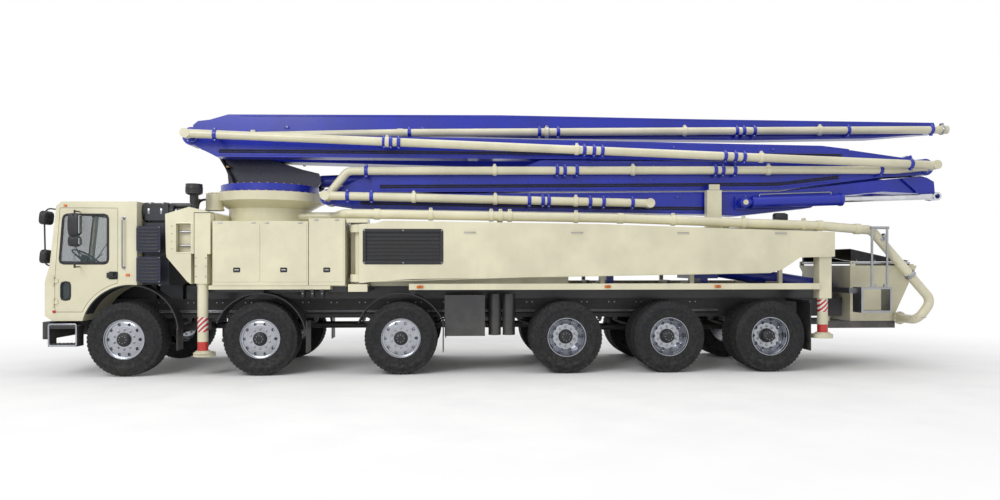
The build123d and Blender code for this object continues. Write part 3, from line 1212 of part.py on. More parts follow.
def rear_outrigger(side):
    """A long box arm swinging about its front pin, with the leg's sleeve at its rear end."""
    with BuildPart() as arm:
        slab(SWING_PROFILE, span(side, *SWING_ARM_Y))
        for z_range in ((1370, 1480), (2100, 2210)):
            post(SWING_PIN_STATION, side * SWING_PIN_Y, 120, z_range)
            block((SWING_PIN_STATION, 3420), span(side, SWING_PIN_Y - 110, SWING_PIN_Y + 110), z_range)
        post(SWING_PIN_STATION, side * SWING_PIN_Y, 50 + BEARING_GAP, (1300, 2290), Mode.SUBTRACT)
        block(GRILLE[0], span(side, HALF_WIDTH - 25, HALF_WIDTH + 5), GRILLE[1], Mode.SUBTRACT)
        pitch = (GRILLE[1][1] - GRILLE[1][0]) / GRILLE_SLATS
        for step in range(1, GRILLE_SLATS):
            height = GRILLE[1][0] + step * pitch
            block(GRILLE[0], span(side, HALF_WIDTH - 25, HALF_WIDTH - 4), (height - 7, height + 7))
        half = REAR_LEG_RADIUS + 17
        sleeve = (REAR_LEG_STATION - half, REAR_LEG_STATION + half)
        block(sleeve, span(side, 1100 - half, 1100 + half), (1110, 1760))
        post(REAR_LEG_STATION, side * 1100, REAR_LEG_RADIUS + BEARING_GAP, (1100, 2160), Mode.SUBTRACT)
    with BuildPart() as leg:
        post(REAR_LEG_STATION, side * 1100, REAR_LEG_RADIUS, (550, 2120))
        post(REAR_LEG_STATION, side * 1070, FOOT_RADIUS, (500, 555))
    return arm.part, leg.part


for side_name, side in SIDES.items():
    arm_part, leg_part = rear_outrigger(side)
    write(arm_part, f"rear_outrigger_{side_name}")
    write(leg_part, f"rear_leg_{side_name}")
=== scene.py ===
import math

import bmesh
import bpy
import numpy as np
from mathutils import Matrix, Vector


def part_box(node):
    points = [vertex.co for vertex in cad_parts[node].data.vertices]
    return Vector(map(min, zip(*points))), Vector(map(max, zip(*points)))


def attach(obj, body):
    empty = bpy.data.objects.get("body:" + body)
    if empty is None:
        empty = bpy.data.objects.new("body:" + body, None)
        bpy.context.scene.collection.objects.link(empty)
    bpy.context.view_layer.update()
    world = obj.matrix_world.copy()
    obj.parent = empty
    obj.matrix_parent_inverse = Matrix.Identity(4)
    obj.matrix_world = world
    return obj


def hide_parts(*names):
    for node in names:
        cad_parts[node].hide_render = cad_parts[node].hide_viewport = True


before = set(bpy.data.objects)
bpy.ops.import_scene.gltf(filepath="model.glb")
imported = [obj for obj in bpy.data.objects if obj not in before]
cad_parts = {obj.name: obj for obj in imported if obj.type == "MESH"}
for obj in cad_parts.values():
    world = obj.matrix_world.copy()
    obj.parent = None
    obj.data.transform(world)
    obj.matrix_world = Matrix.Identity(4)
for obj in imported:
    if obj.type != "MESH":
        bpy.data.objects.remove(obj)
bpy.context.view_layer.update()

bl_info = {
    "name": "Concrete boom pump truck",
    "version": (1, 0, 0),
    "blender": (4, 5, 0),
    "location": "3D View > Sidebar > Pump truck",
    "description": "Wheels, cab fittings, clamps, trim and finishes of a boom pump truck",
    "category": "Object",
}

SIDES = {"left": -1.0, "right": 1.0}


# ---------------------------------------------------------------- places
def middle(node):
    """Middle of a node's box at rest."""
    low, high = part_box(node)
    return (np.array(low) + np.array(high)) / 2


FRONT_AXLE = float(middle("wheel_1_left")[0])
DOOR_FACE = 1.16
BOX_FACE = float(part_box("side_cabinets")[1][1])


def at(station):
    """X of a place measured rearwards from the front axle."""
    return FRONT_AXLE + station


# ---------------------------------------------------------------- surfaces
def woven(rows, columns, wrap_rows, wrap_columns):
    """Four-sided faces of a grid of points: face (i, j) joins (i, j), (i+1, j), (i+1, j+1) and (i, j+1)."""
    i = np.arange(rows if wrap_rows else rows - 1)[:, None]
    j = np.arange(columns if wrap_columns else columns - 1)[None, :]
    i2, j2 = (i + 1) % rows, (j + 1) % columns
    corners = [i * columns + j, i2 * columns + j, i2 * columns + j2, i * columns + j2]
    return np.stack([np.broadcast_to(c, (i.size, j.size)) for c in corners], axis=-1).reshape(-1, 4)


def skin(points, wrap_rows=False, wrap_columns=True, caps=False):
    """A surface over a grid of points; caps close its first and last row with one face each."""
    rows, columns = points.shape[:2]
    faces = woven(rows, columns, wrap_rows, wrap_columns).tolist()
    if caps:
        faces.append(list(range(columns)))
        faces.append(list(range((rows - 1) * columns, rows * columns)))
    return points.reshape(-1, 3), faces


def unit(vectors):
    """Each vector divided by its length."""
    return vectors / np.maximum(np.linalg.norm(vectors, axis=-1, keepdims=True), 1e-12)


def axes_for(axis):
    """Two directions square to an axis."""
    along = unit(np.array(axis, float))
    helper = np.array([0.0, 0.0, 1.0]) if abs(along[2]) < 0.9 else np.array([1.0, 0.0, 0.0])
    first = unit(np.cross(helper, along))
    return along, first, np.cross(along, first)


def turned(profile, centre, axis, sides=48, closed=False, angle=0.0):
    """A turned surface: centre + along * a + radius * (cos t * p + sin t * q), for (a, radius) down the profile."""
    profile = np.array(profile, float)
    along, p, q = axes_for(axis)
    t = np.linspace(0, 2 * np.pi, sides, endpoint=False) + angle
    ring = np.cos(t)[:, None] * p + np.sin(t)[:, None] * q
    points = np.array(centre, float) + profile[:, None, 0:1] * along + profile[:, None, 1:2] * ring[None]
    return skin(points, wrap_rows=closed)


def drum(centre, axis, radius, low, high, edge=0.004, sides=32):
    """A short round with eased edges, closed at both ends on its axis."""
    profile = [(low, 0), (low, radius - edge), (low + edge * 0.3, radius - edge * 0.3), (low + edge, radius)]
    profile += [(high - edge, radius), (high - edge * 0.3, radius - edge * 0.3), (high, radius - edge), (high, 0)]
    return turned(profile, centre, axis, sides)


def ring(centre, axis, inner, outer, low, high, edge=0.003, sides=40):
    """A ring of rectangular section with eased edges."""
    profile = [(low, inner), (low, outer - edge), (low + edge, outer), (high - edge, outer)]
    profile += [(high, outer - edge), (high, inner)]
    return turned(profile, centre, axis, sides, closed=True)


def bent(corners, radius, steps=5, closed=False):
    """A path whose corners are eased: (1-s)^2 a + 2 s (1-s) corner + s^2 b, with a and b a radius back along each leg."""
    c = np.array(corners, float)
    if closed:
        before, here, after = np.roll(c, 1, axis=0), c, np.roll(c, -1, axis=0)
    else:
        before, here, after = c[:-2], c[1:-1], c[2:]
    s = np.linspace(0, 1, steps)[None, :, None]
    a = here + unit(before - here) * radius
    b = here + unit(after - here) * radius
    eased = (1 - s) ** 2 * a[:, None] + 2 * s * (1 - s) * here[:, None] + s**2 * b[:, None]
    eased = eased.reshape(-1, c.shape[1])
    return eased if closed else np.vstack([c[:1], eased, c[-1:]])


def tube(path, radius, sides=10, closed=False):
    """A round carried along a path: point + radius * (cos t * b + sin t * (tangent x b)), b square to the path's own plane."""
    path = np.array(path, float)
    if closed:
        tangent = unit(np.roll(path, -1, axis=0) - np.roll(path, 1, axis=0))
    else:
        tangent = unit(np.gradient(path, axis=0))
    spread = path - path.mean(axis=0)
    flat = np.linalg.svd(spread, full_matrices=True)[2][2]
    b = unit(flat - (tangent @ flat)[:, None] * tangent)
    c = np.cross(tangent, b)
    t = np.linspace(0, 2 * np.pi, sides, endpoint=False)
    points = path[:, None] + radius * (np.cos(t)[None, :, None] * b[:, None] + np.sin(t)[None, :, None] * c[:,
        None])
    return skin(points, wrap_rows=closed, caps=not closed)


def rounded_block(low, high, radius, steps=2):
    """A box with rounded edges: each octant of a small sphere pushed out to its own corner, with flat faces between."""
    low, high = np.minimum(low, high), np.maximum(low, high)
    radius = min(radius, 0.49 * float((high - low).min()))
    q = np.linspace(0, np.pi / 2, steps + 1)
    u = np.concatenate([q + k * np.pi / 2 for k in range(4)])
    quarter = np.repeat(np.arange(4), steps + 1)
    sx = np.where((quarter == 0) | (quarter == 3), 1.0, -1.0)
    sy = np.where(quarter < 2, 1.0, -1.0)
    v = np.concatenate([q - np.pi / 2, q])
    sz = np.repeat([-1.0, 1.0], steps + 1)
    d = np.stack([np.cos(v)[:, None] * np.cos(u), np.cos(v)[:, None] * np.sin(u), np.sin(v)[:, None] + 0 * u],
        axis=-1)
    sign = np.stack([sx + 0 * v[:, None], sy + 0 * v[:, None], sz[:, None] + 0 * u], axis=-1)
    return skin((low + high) / 2 + sign * ((high - low) / 2 - radius) + radius * d, caps=True)


def plate(outline, across, low, high, bevel=0.002):
    """A flat plate: its outline drawn inward by a bevel at both faces and carried between them."""
    o = np.array(outline, float)
    before, after = unit(o - np.roll(o, 1, axis=0)), unit(np.roll(o, -1, axis=0) - o)
    area = np.sum(o[:, 0] * np.roll(o[:, 1], -1) - np.roll(o[:, 0], -1) * o[:, 1])
    turn = 1.0 if area > 0 else -1.0
    normal = turn * np.stack([-(before + after)[:, 1], (before + after)[:, 0]], axis=-1)
    normal = unit(normal) / np.maximum(np.sqrt((1 + np.sum(before * after, axis=1, keepdims=True)) / 2), 0.4)
    low, high = min(low, high), max(low, high)
    bevel = min(bevel, (high - low) * 0.45)
    rows = []
    for inset, depth in ((bevel, low), (0, low + bevel), (0, high - bevel), (bevel, high)):
        flat = o + normal * inset
        depth = np.full(len(o), depth)
        order = {"X": (depth, flat[:, 0], flat[:, 1]), "Y": (flat[:, 0], depth, flat[:, 1])}
        rows.append(np.stack(order[across], axis=-1))
    return skin(np.stack(rows), caps=True)


def oblong(low, high, radius, steps=5):
    """A rectangle's outline with eased corners."""
    corners = [(low[0], low[1]), (high[0], low[1]), (high[0], high[1]), (low[0], high[1])]
    return bent(corners, radius, steps, closed=True)


def hoop(outline, across, depth, width, thickness):
    """A flat strip following a closed outline: inner and outer edge half a width either side, with a crowned face."""
    o = np.array(outline, float)
    tangent = unit(np.roll(o, -1, axis=0) - np.roll(o, 1, axis=0))
    normal = np.stack([tangent[:, 1], -tangent[:, 0]], axis=-1)
    t = np.linspace(0, 2 * np.pi, 10, endpoint=False)
    lift = np.sign(np.sin(t)) * np.abs(np.sin(t)) ** 0.6 * thickness
    reach = np.sign(np.cos(t)) * np.abs(np.cos(t)) ** 0.6 * width / 2
    flat = o[:, None] + normal[:, None] * reach[None, :, None]
    deep = np.broadcast_to(depth + lift, flat.shape[:2])
    order = {"X": (deep, flat[..., 0], flat[..., 1]), "Y": (flat[..., 0], deep, flat[..., 1])}
    return skin(np.stack(order[across], axis=-1), wrap_rows=True)


def copies(part, places):
    """The same small part set down at each place."""
    points, faces = part
    places = np.array(places, float).reshape(-1, 3)
    moved = (points[None] + places[:, None]).reshape(-1, 3)
    shifted = [[i + k * len(points) for i in face] for k in range(len(places)) for face in faces]
    return moved, shifted


def bolt(axis, radius=0.012, height=0.009, angle=0.0):
    """A hexagon head with an eased rim, at the origin."""
    profile = [(-0.004, 0), (-0.004, radius), (height * 0.75, radius), (height, radius * 0.8), (height, 0)]
    return turned(profile, (0, 0, 0), axis, 6, angle=angle)


def on_circle(centre, axis, radius, count, phase=0.0):
    """Places spread evenly round a circle."""
    _, p, q = axes_for(axis)
    t = np.arange(count) * 2 * np.pi / count + phase
    return np.array(centre, float) + radius * (np.cos(t)[:, None] * p + np.sin(t)[:, None] * q)


MERGE_DISTANCE = 1e-5


def piece(name, parts, body, materials, stands_for=(), sharp=38.0):
    """One object from parts, each (points, faces) or (points, faces, material number), riding on a body."""
    points, faces, numbers, start = [], [], [], 0
    for part in parts:
        points.append(part[0])
        faces += [[i + start for i in face] for face in part[1]]
        numbers += [part[2] if len(part) > 2 else 0] * len(part[1])
        start += len(part[0])
    mesh = bpy.data.meshes.new(name)
    mesh.from_pydata(np.vstack(points).tolist(), [], faces)
    for material in materials if isinstance(materials, (list, tuple)) else [materials]:
        mesh.materials.append(material)
    mesh.polygons.foreach_set("material_index", np.array(numbers, dtype=np.int32))
    sheet = bmesh.new()
    sheet.from_mesh(mesh)
    bmesh.ops.remove_doubles(sheet, verts=sheet.verts, dist=MERGE_DISTANCE)
    bmesh.ops.recalc_face_normals(sheet, faces=sheet.faces)
    sheet.to_mesh(mesh)
    sheet.free()
    mesh.polygons.foreach_set("use_smooth", np.ones(len(mesh.polygons), dtype=bool))
    mesh.set_sharp_from_angle(angle=math.radians(sharp))
    mesh.update()
    made = bpy.data.objects.new(name, mesh)
    bpy.context.scene.collection.objects.link(made)
    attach(made, body)
    if stands_for:
        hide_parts(*stands_for)
    return made


# ---------------------------------------------------------------- finishes
def shade(red, green, blue):
    """A colour written as seen, turned to light values."""
    values = np.array([red, green, blue]) / 255.0
    light = np.where(values <= 0.04045, values / 12.92, ((values + 0.055) / 1.055) ** 2.4)
    return (*map(float, light), 1.0)


class Recipe:
    """Node tree of one finish, with small helpers to add and join nodes."""

    def __init__(self, name):
        self.material = bpy.data.materials.new(name)
        self.material.use_nodes = True
        self.tree = self.material.node_tree
        self.shader = self.tree.nodes["Principled BSDF"]
        coordinates = self.tree.nodes.new("ShaderNodeTexCoord")
        self.place = coordinates.outputs["Object"]
        split = self.tree.nodes.new("ShaderNodeSeparateXYZ")
        self.tree.links.new(self.place, split.inputs[0])
        self.x, self.y, self.z = split.outputs

    def put(self, socket, value):
        if isinstance(value, bpy.types.NodeSocket):
            self.tree.links.new(value, socket)
        else:
            socket.default_value = value

    def noise(self, scale, detail=3.0, stretch=None, roughness=0.55):
        """A cloud pattern between 0 and 1; a stretch scales its axes."""
        source = self.place
        if stretch:
            mapping = self.tree.nodes.new("ShaderNodeMapping")
            mapping.inputs["Scale"].default_value = stretch
            self.tree.links.new(source, mapping.inputs["Vector"])
            source = mapping.outputs[0]
        made = self.tree.nodes.new("ShaderNodeTexNoise")
        made.inputs["Scale"].default_value = scale
        made.inputs["Detail"].default_value = detail
        made.inputs["Roughness"].default_value = roughness
        self.tree.links.new(source, made.inputs["Vector"])
        return made.outputs["Fac"]

    def maths(self, operation, first, second=0.0):
        made = self.tree.nodes.new("ShaderNodeMath")
        made.operation = operation
        self.put(made.inputs[0], first)
        self.put(made.inputs[1], second)
        return made.outputs[0]

    def span(self, value, low, high, to_low=0.0, to_high=1.0):
        """A value mapped smoothly from low..high to to_low..to_high, held at the ends."""
        made = self.tree.nodes.new("ShaderNodeMapRange")
        made.interpolation_type = "SMOOTHSTEP"
        self.put(made.inputs["Value"], value)
        for key, number in (("From Min", low), ("From Max", high), ("To Min", to_low), ("To Max", to_high)):
            made.inputs[key].default_value = number
        return made.outputs[0]

    def blend(self, share, first, second):
        made = self.tree.nodes.new("ShaderNodeMix")
        made.data_type = "RGBA"
        self.put(made.inputs[0], share)
        self.put(made.inputs[6], first)
        self.put(made.inputs[7], second)
        return made.outputs[2]

    def within(self, value, low, high):
        """1 between two bounds and 0 outside them."""
        return self.maths("MULTIPLY", self.maths("GREATER_THAN", value, low), self.maths("LESS_THAN", value, high))

    def bump(self, height, strength, distance):
        made = self.tree.nodes.new("ShaderNodeBump")
        made.inputs["Strength"].default_value = strength
        made.inputs["Distance"].default_value = distance
        self.tree.links.new(height, made.inputs["Height"])
        self.tree.links.new(made.outputs[0], self.shader.inputs["Normal"])

    def finish(self, colour, rough=0.35, metal=0.0):
        self.put(self.shader.inputs["Base Color"], colour)
        self.put(self.shader.inputs["Roughness"], rough)
        self.put(self.shader.inputs["Metallic"], metal)
        return self.material


DUST = shade(150, 143, 128)


def paint(name, colour, rough=0.32, variation=0.10, dust=0.18, dust_top=1.4, regions=(), coat=0.25, streaks=0.06):
    """Sprayed paint: cloudy tone, faint runs, road dust that thickens downwards, and orange-peel bump.

    Each region is (mask builder, colour) and is laid over the base tone."""
    r = Recipe(name)
    soft = r.noise(1.6, 4.0)
    fine = r.noise(38.0, 3.0)
    dark = tuple(c * (1 - variation) for c in colour[:3]) + (1.0,)
    light = tuple(min(1.0, c * (1 + variation * 0.6)) for c in colour[:3]) + (1.0,)
    tone = r.blend(r.span(soft, 0.3, 0.7), dark, light)
    for mask, over in regions:
        low_tone = tuple(c * (1 - variation) for c in over[:3]) + (1.0,)
        tone = r.blend(mask(r), tone, r.blend(r.span(soft, 0.3, 0.7), low_tone, over))
    runs = r.noise(9.0, 5.0, stretch=(1.0, 1.0, 0.12))
    tone = r.blend(r.span(runs, 0.55, 0.85, 0.0, streaks), tone, shade(92, 84, 70))
    low = r.span(r.z, 0.2, dust_top, dust, 0.0)
    dusty = r.maths("MULTIPLY", low, r.span(r.noise(6.0, 6.0), 0.35, 0.65, 0.35, 1.0))
    tone = r.blend(dusty, tone, DUST)
    r.bump(r.noise(260.0, 2.0), 0.05, 0.001)
    r.shader.inputs["Coat Weight"].default_value = coat
    r.shader.inputs["Coat Roughness"].default_value = 0.12
    matt = r.maths("ADD", r.span(fine, 0.3, 0.7, rough - 0.05, rough + 0.08), r.maths("MULTIPLY", dusty, 0.4))
    return r.finish(tone, matt)


def metal(name, colour, rough=0.3, brushed=(1.0, 1.0, 1.0), dust=0.1, dust_top=1.0, full=1.0):
    """Bare or plated metal: fine drawn lines, cloudy roughness and a little dust low down."""
    r = Recipe(name)
    lines = r.noise(120.0, 4.0, stretch=brushed)
    cloud = r.noise(5.0, 4.0)
    dark = tuple(c * 0.82 for c in colour[:3]) + (1.0,)
    tone = r.blend(r.span(cloud, 0.3, 0.7), dark, colour)
    low = r.span(r.z, 0.1, dust_top, dust, 0.0)
    tone = r.blend(r.maths("MULTIPLY", low, r.span(r.noise(14.0, 5.0), 0.35, 0.7)), tone, DUST)
    r.bump(lines, 0.06, 0.0008)
    return r.finish(tone, r.span(lines, 0.25, 0.75, max(0.03, rough - 0.07), rough + 0.1), full)


def rubber(name, colour, rough=0.75, dust=0.25, dust_top=1.1):
    """Rubber: blue-black, chalky where it weathers, with a fine pebbled bump."""
    r = Recipe(name)
    cloud = r.noise(7.0, 6.0)
    chalk = tuple(min(1.0, c * 2.3 + 0.01) for c in colour[:3]) + (1.0,)
    tone = r.blend(r.span(cloud, 0.45, 0.75, 0.0, 0.3), colour, chalk)
    low = r.span(r.z, 0.0, dust_top, dust, 0.02)
    tone = r.blend(r.maths("MULTIPLY", low, r.span(r.noise(19.0, 5.0), 0.4, 0.65)), tone, DUST)
    r.bump(r.noise(420.0, 2.0), 0.12, 0.0012)
    return r.finish(tone, r.span(r.noise(30.0), 0.3, 0.7, rough - 0.1, rough + 0.12))


def plastic(name, colour, rough=0.5):
    """Moulded plastic with a leathery grain."""
    r = Recipe(name)
    tone = r.blend(r.span(r.noise(4.0, 4.0), 0.35, 0.7, 0.0, 0.5), colour,
        tuple(c * 1.8 + 0.004 for c in colour[:3]) + (1.0,))
    grain = r.tree.nodes.new("ShaderNodeTexVoronoi")
    grain.inputs["Scale"].default_value = 330.0
    r.tree.links.new(r.place, grain.inputs["Vector"])
    r.bump(grain.outputs["Distance"], 0.15, 0.0008)
    return r.finish(tone, r.span(r.noise(26.0), 0.3, 0.7, rough - 0.08, rough + 0.1))


def lens(name, colour):
    """A ribbed coloured lamp lens."""
    r = Recipe(name)
    ribs = r.tree.nodes.new("ShaderNodeTexWave")
    ribs.inputs["Scale"].default_value = 45.0
    r.tree.links.new(r.place, ribs.inputs["Vector"])
    tone = r.blend(r.span(ribs.outputs["Fac"], 0.2, 0.8), tuple(c * 0.7 for c in colour[:3]) + (1.0,), colour)
    r.bump(ribs.outputs["Fac"], 0.2, 0.001)
    return r.finish(tone, 0.12)


def cloth(name, colour):
    """Woven seat cloth: a small crossed weave over a cloudy tone."""
    r = Recipe(name)
    weave = []
    for direction in ("X", "Z"):
        wave = r.tree.nodes.new("ShaderNodeTexWave")
        wave.bands_direction = direction
        wave.inputs["Scale"].default_value = 260.0
        r.tree.links.new(r.place, wave.inputs["Vector"])
        weave.append(wave.outputs["Fac"])
    crossed = r.maths("MULTIPLY", weave[0], weave[1])
    tone = r.blend(r.span(crossed, 0.0, 1.0, 0.0, 0.6), colour, tuple(c * 1.9 for c in colour[:3]) + (1.0,))
    tone = r.blend(r.span(r.noise(9.0), 0.4, 0.7, 0.0, 0.3), tone, DUST)
    r.bump(crossed, 0.4, 0.0015)
    r.shader.inputs["Sheen Weight"].default_value = 0.3
    return r.finish(tone, 0.9)


GLASS_CLEAR = 0.72


def see_through(r, share, mask=None):
    """Lets light through a share of a pane, everywhere or where a mask is 1."""
    if mask is None:
        r.shader.inputs["Alpha"].default_value = 1 - share
    else:
        r.put(r.shader.inputs["Alpha"], r.maths("SUBTRACT", 1.0, r.maths("MULTIPLY", mask, share)))


def pane(name, tint):
    """Window glass with faint wiped smears."""
    r = Recipe(name)
    smear = r.noise(3.0, 5.0, stretch=(1.0, 1.0, 3.0))
    tone = r.blend(r.span(smear, 0.4, 0.8, 0.0, 0.35), tint, tuple(min(1.0, c * 1.6) for c in tint[:3]) + (1.0,))
    see_through(r, GLASS_CLEAR)
    return r.finish(tone, r.span(smear, 0.3, 0.8, 0.02, 0.09))


def colours():
    """Colours the user has set, from the scene's properties."""
    sizes = bpy.context.scene.pump_colours
    return tuple(sizes.cream) + (1.0,), tuple(sizes.blue) + (1.0,), tuple(sizes.navy) + (1.0,)


MADE = {}


def finish_of(kind):
    """Makes each finish once and hands it out again."""
    if kind not in MADE or MADE[kind] not in set(bpy.data.materials):
        cream, blue, navy = colours()
        black = shade(26, 27, 30)
        makers = {
            "cream": lambda: paint("cream_paint", cream),
            "blue": lambda: paint("blue_paint", blue, dust=0.05),
            "navy": lambda: paint("navy_paint", navy, dust=0.04),
            "dark": lambda: paint("chassis_paint", shade(27, 28, 33), rough=0.5, coat=0.05, dust=0.16),
            "steel": lambda: metal("bare_steel", shade(168, 170, 174), 0.34, (1.0, 1.0, 8.0)),
            "polished": lambda: metal("polished_rim", shade(176, 179, 186), 0.2, (6.0, 1.0, 6.0), dust=0.06),
            "chrome": lambda: metal("plated_rod", shade(216, 218, 222), 0.08, (0.3, 1.0, 1.0), dust=0.0),
            "bronze": lambda: metal("plated_bolt", shade(176, 142, 88), 0.32),
            "tyre": lambda: rubber("tyre_tread", shade(11, 12, 16), dust=0.07, dust_top=0.5),
            "rubber": lambda: rubber("black_rubber", shade(20, 20, 23), 0.6, dust=0.1),
            "plastic": lambda: plastic("black_plastic", black),
            "grey": lambda: plastic("grey_plastic", shade(112, 114, 118)),
            "cloth": lambda: cloth("seat_weave", shade(52, 54, 62)),
            "orange": lambda: lens("orange_lens", shade(232, 120, 22)),
            "red": lambda: lens("red_lens", shade(196, 26, 24)),
            "clear": lambda: lens("clear_lens", shade(214, 220, 224)),
            "mirror": lambda: metal("mirror_face", shade(225, 228, 232), 0.04, dust=0.0),
            "glass": lambda: pane("window_glass", shade(92, 108, 112)),
        }
        MADE[kind] = makers[kind]()
    return MADE[kind]


# ---------------------------------------------------------------- finishes of the frame's own parts
def door_glass(r):
    """1 inside the side window or the low slot window of a door."""
    lean = r.maths("SUBTRACT", r.x, r.maths("MULTIPLY", r.maths("SUBTRACT", r.z, 1.64), 0.078))
    window = r.maths("MULTIPLY", r.within(lean, at(-0.935), at(-0.2)), r.within(r.z, 1.64, 2.345))
    window = r.maths("MULTIPLY", window, r.maths("LESS_THAN", r.x, at(-0.255)))
    slot = r.maths("MULTIPLY", r.within(r.x, at(-0.916), at(-0.784)), r.within(r.z, 1.11, 1.372))
    return r.maths("MAXIMUM", window, slot)


def door_paint():
    """Cream door skin whose panes are clear; the mirror housing and its arm are black."""
    cream, _, _ = colours()
    r = Recipe("door_paint")
    glass = door_glass(r)
    reach = r.maths("ABSOLUTE", r.y)
    mirror = r.maths("GREATER_THAN", reach, 1.192)
    handle = r.maths("MULTIPLY", r.maths("GREATER_THAN", reach, 1.161), r.maths("GREATER_THAN", r.x, at(-0.5)))
    black = r.maths("MAXIMUM", mirror, handle)
    cloud = r.span(r.noise(1.6, 4.0), 0.3, 0.7)
    tone = r.blend(cloud, tuple(c * 0.9 for c in cream[:3]) + (1.0,), cream)
    dusty = r.maths("MULTIPLY", r.span(r.z, 0.8, 1.5, 0.16, 0.0), r.span(r.noise(6.0, 6.0), 0.35, 0.65, 0.3, 1.0))
    tone = r.blend(dusty, tone, DUST)
    tone = r.blend(black, tone, shade(24, 25, 28))
    tone = r.blend(glass, tone, shade(88, 104, 108))
    see_through(r, GLASS_CLEAR, glass)
    r.bump(r.noise(260.0, 2.0), 0.05, 0.001)
    r.shader.inputs["Coat Weight"].default_value = 0.25
    rough = r.maths("SUBTRACT", r.span(r.noise(38.0), 0.3, 0.7, 0.27, 0.4), r.maths("MULTIPLY", glass, 0.24))
    return r.finish(tone, rough)


def along_y(low, high):
    """Mask of a band across the vehicle."""
    return lambda r: r.within(r.y, low, high)


def diagonal_bands(r, low, high, pitch=0.075):
    """Slanting stripes between two heights."""
    slant = r.maths("ADD", r.maths("SUBTRACT", r.z, r.x), 40.0)
    wave = r.maths("FRACT", r.maths("DIVIDE", slant, pitch))
    return r.maths("MULTIPLY", r.maths("LESS_THAN", wave, 0.5), r.within(r.z, low, high))


def leg_paint(name, stripes, band):
    """Cream leg with red and white slanting stripes and a red band."""
    cream, _, _ = colours()
    white, red = shade(228, 228, 222), shade(196, 40, 34)
    regions = [
        (lambda r: r.within(r.z, *stripes), white),
        (lambda r: diagonal_bands(r, *stripes), red),
        (lambda r: r.within(r.z, *band), red),
    ]
    return paint(name, cream, regions=regions, dust=0.1)


def grille_field(r):
    """The louvred field near the front of a long arm."""
    return r.maths("MULTIPLY", r.within(r.x, at(3.442), at(4.568)), r.within(r.z, 1.652, 2.123))


def dress_frame():
    """A finish for every part carried over from the frame."""
    cream, blue, navy = colours()
    pale = cream
    both_columns = {
        "boom_arm_a": (0.47, 2.0),
        "boom_arm_b": (-2.0, -0.79),
        "boom_arm_c": (-2.0, -0.634),
        "boom_arm_d": (-2.0, -0.79),
        "boom_arm_e": (-2.0, -0.004),
    }
    chosen = {}
    for node, bounds in both_columns.items():
        chosen[node] = paint(f"{node}_paint", blue, dust=0.0, regions=[(along_y(*bounds), pale)], variation=0.16)
    chosen["turret"] = paint(
        "turret_paint",
        navy,
        dust=0.0,
        regions=[(lambda r: r.maths("LESS_THAN", r.z, 2.872), blue), (along_y(0.62, 2.0), pale)],
    )
    dark = shade(40, 41, 45)
    # Painted shade: the pedestal's recessed lower box, below its ledge and inside the side faces, is painted near-black
    # in place of the cream paint lying in shadow there. The same near-black is the tanks' own paint below.
    chosen["pedestal"] = paint(
        "pedestal_paint",
        cream,
        regions=[
            (
                lambda r: r.maths(
                    "MULTIPLY",
                    r.maths("LESS_THAN", r.z, 1.302),
                    r.maths("LESS_THAN", r.maths("ABSOLUTE", r.y), 1.12),
                ),
                dark,
            )
        ],
    )
    chosen["toolbox_and_tanks"] = paint(
        "tank_paint", dark, regions=[(lambda r: r.maths("GREATER_THAN", r.y, 0.45), shade(176, 178, 182))],
        rough=0.4
    )
    chosen["cooling_tower"] = paint(
        "tower_paint",
        shade(30, 34, 46),
        regions=[(lambda r: r.maths("GREATER_THAN", r.z, 2.46), shade(30, 31, 34))],
        rough=0.45,
    )
    chosen["hopper"] = paint(
        "hopper_paint",
        cream,
        dust=0.35,
        regions=[(lambda r: r.maths("LESS_THAN", r.z, 0.706), shade(60, 60, 62))],
        streaks=0.25,
    )
    for side in SIDES:
        chosen[f"cab_door_{side}"] = door_paint()
        chosen[f"front_leg_{side}"] = leg_paint(f"front_leg_{side}_paint", (0.64, 0.86), (0.37, 0.5))
        chosen[f"rear_leg_{side}"] = leg_paint(f"rear_leg_{side}_paint", (0.9, 1.09), (0.585, 0.71))
        chosen[f"front_outrigger_{side}"] = paint(f"front_outrigger_{side}_paint", cream)
        chosen[f"rear_outrigger_{side}"] = paint(f"rear_outrigger_{side}_paint", cream,
            regions=[(grille_field, shade(22, 23, 26))])
        for axle in (1, 2):
            chosen[f"knuckle_{axle}_{side}"] = finish_of("dark")
    plain = {
        "cream": ("cab_shell", "side_cabinets", "deck_pipe"),
        "dark": ("chassis_frame", "front_axles", "rear_axles", "engine_block", "bumper_and_steps", "mudguards"),
        "blue": ("pump_unit",),
        "steel": ("hopper_grate", "rear_platform"),
        "glass": ("cab_glass",),
    }
    for kind, names in plain.items():
        for name in names:
            chosen[name] = finish_of(kind)
    for letter in "abcde":
        chosen[f"cylinder_{letter}_barrel"] = finish_of("blue")
        chosen[f"cylinder_{letter}_rod"] = finish_of("chrome")
    for name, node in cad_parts.items():
        material = chosen.get(name, finish_of("cream"))
        if not node.material_slots:
            node.data.materials.append(material)
        for place in node.material_slots:
            place.material = material


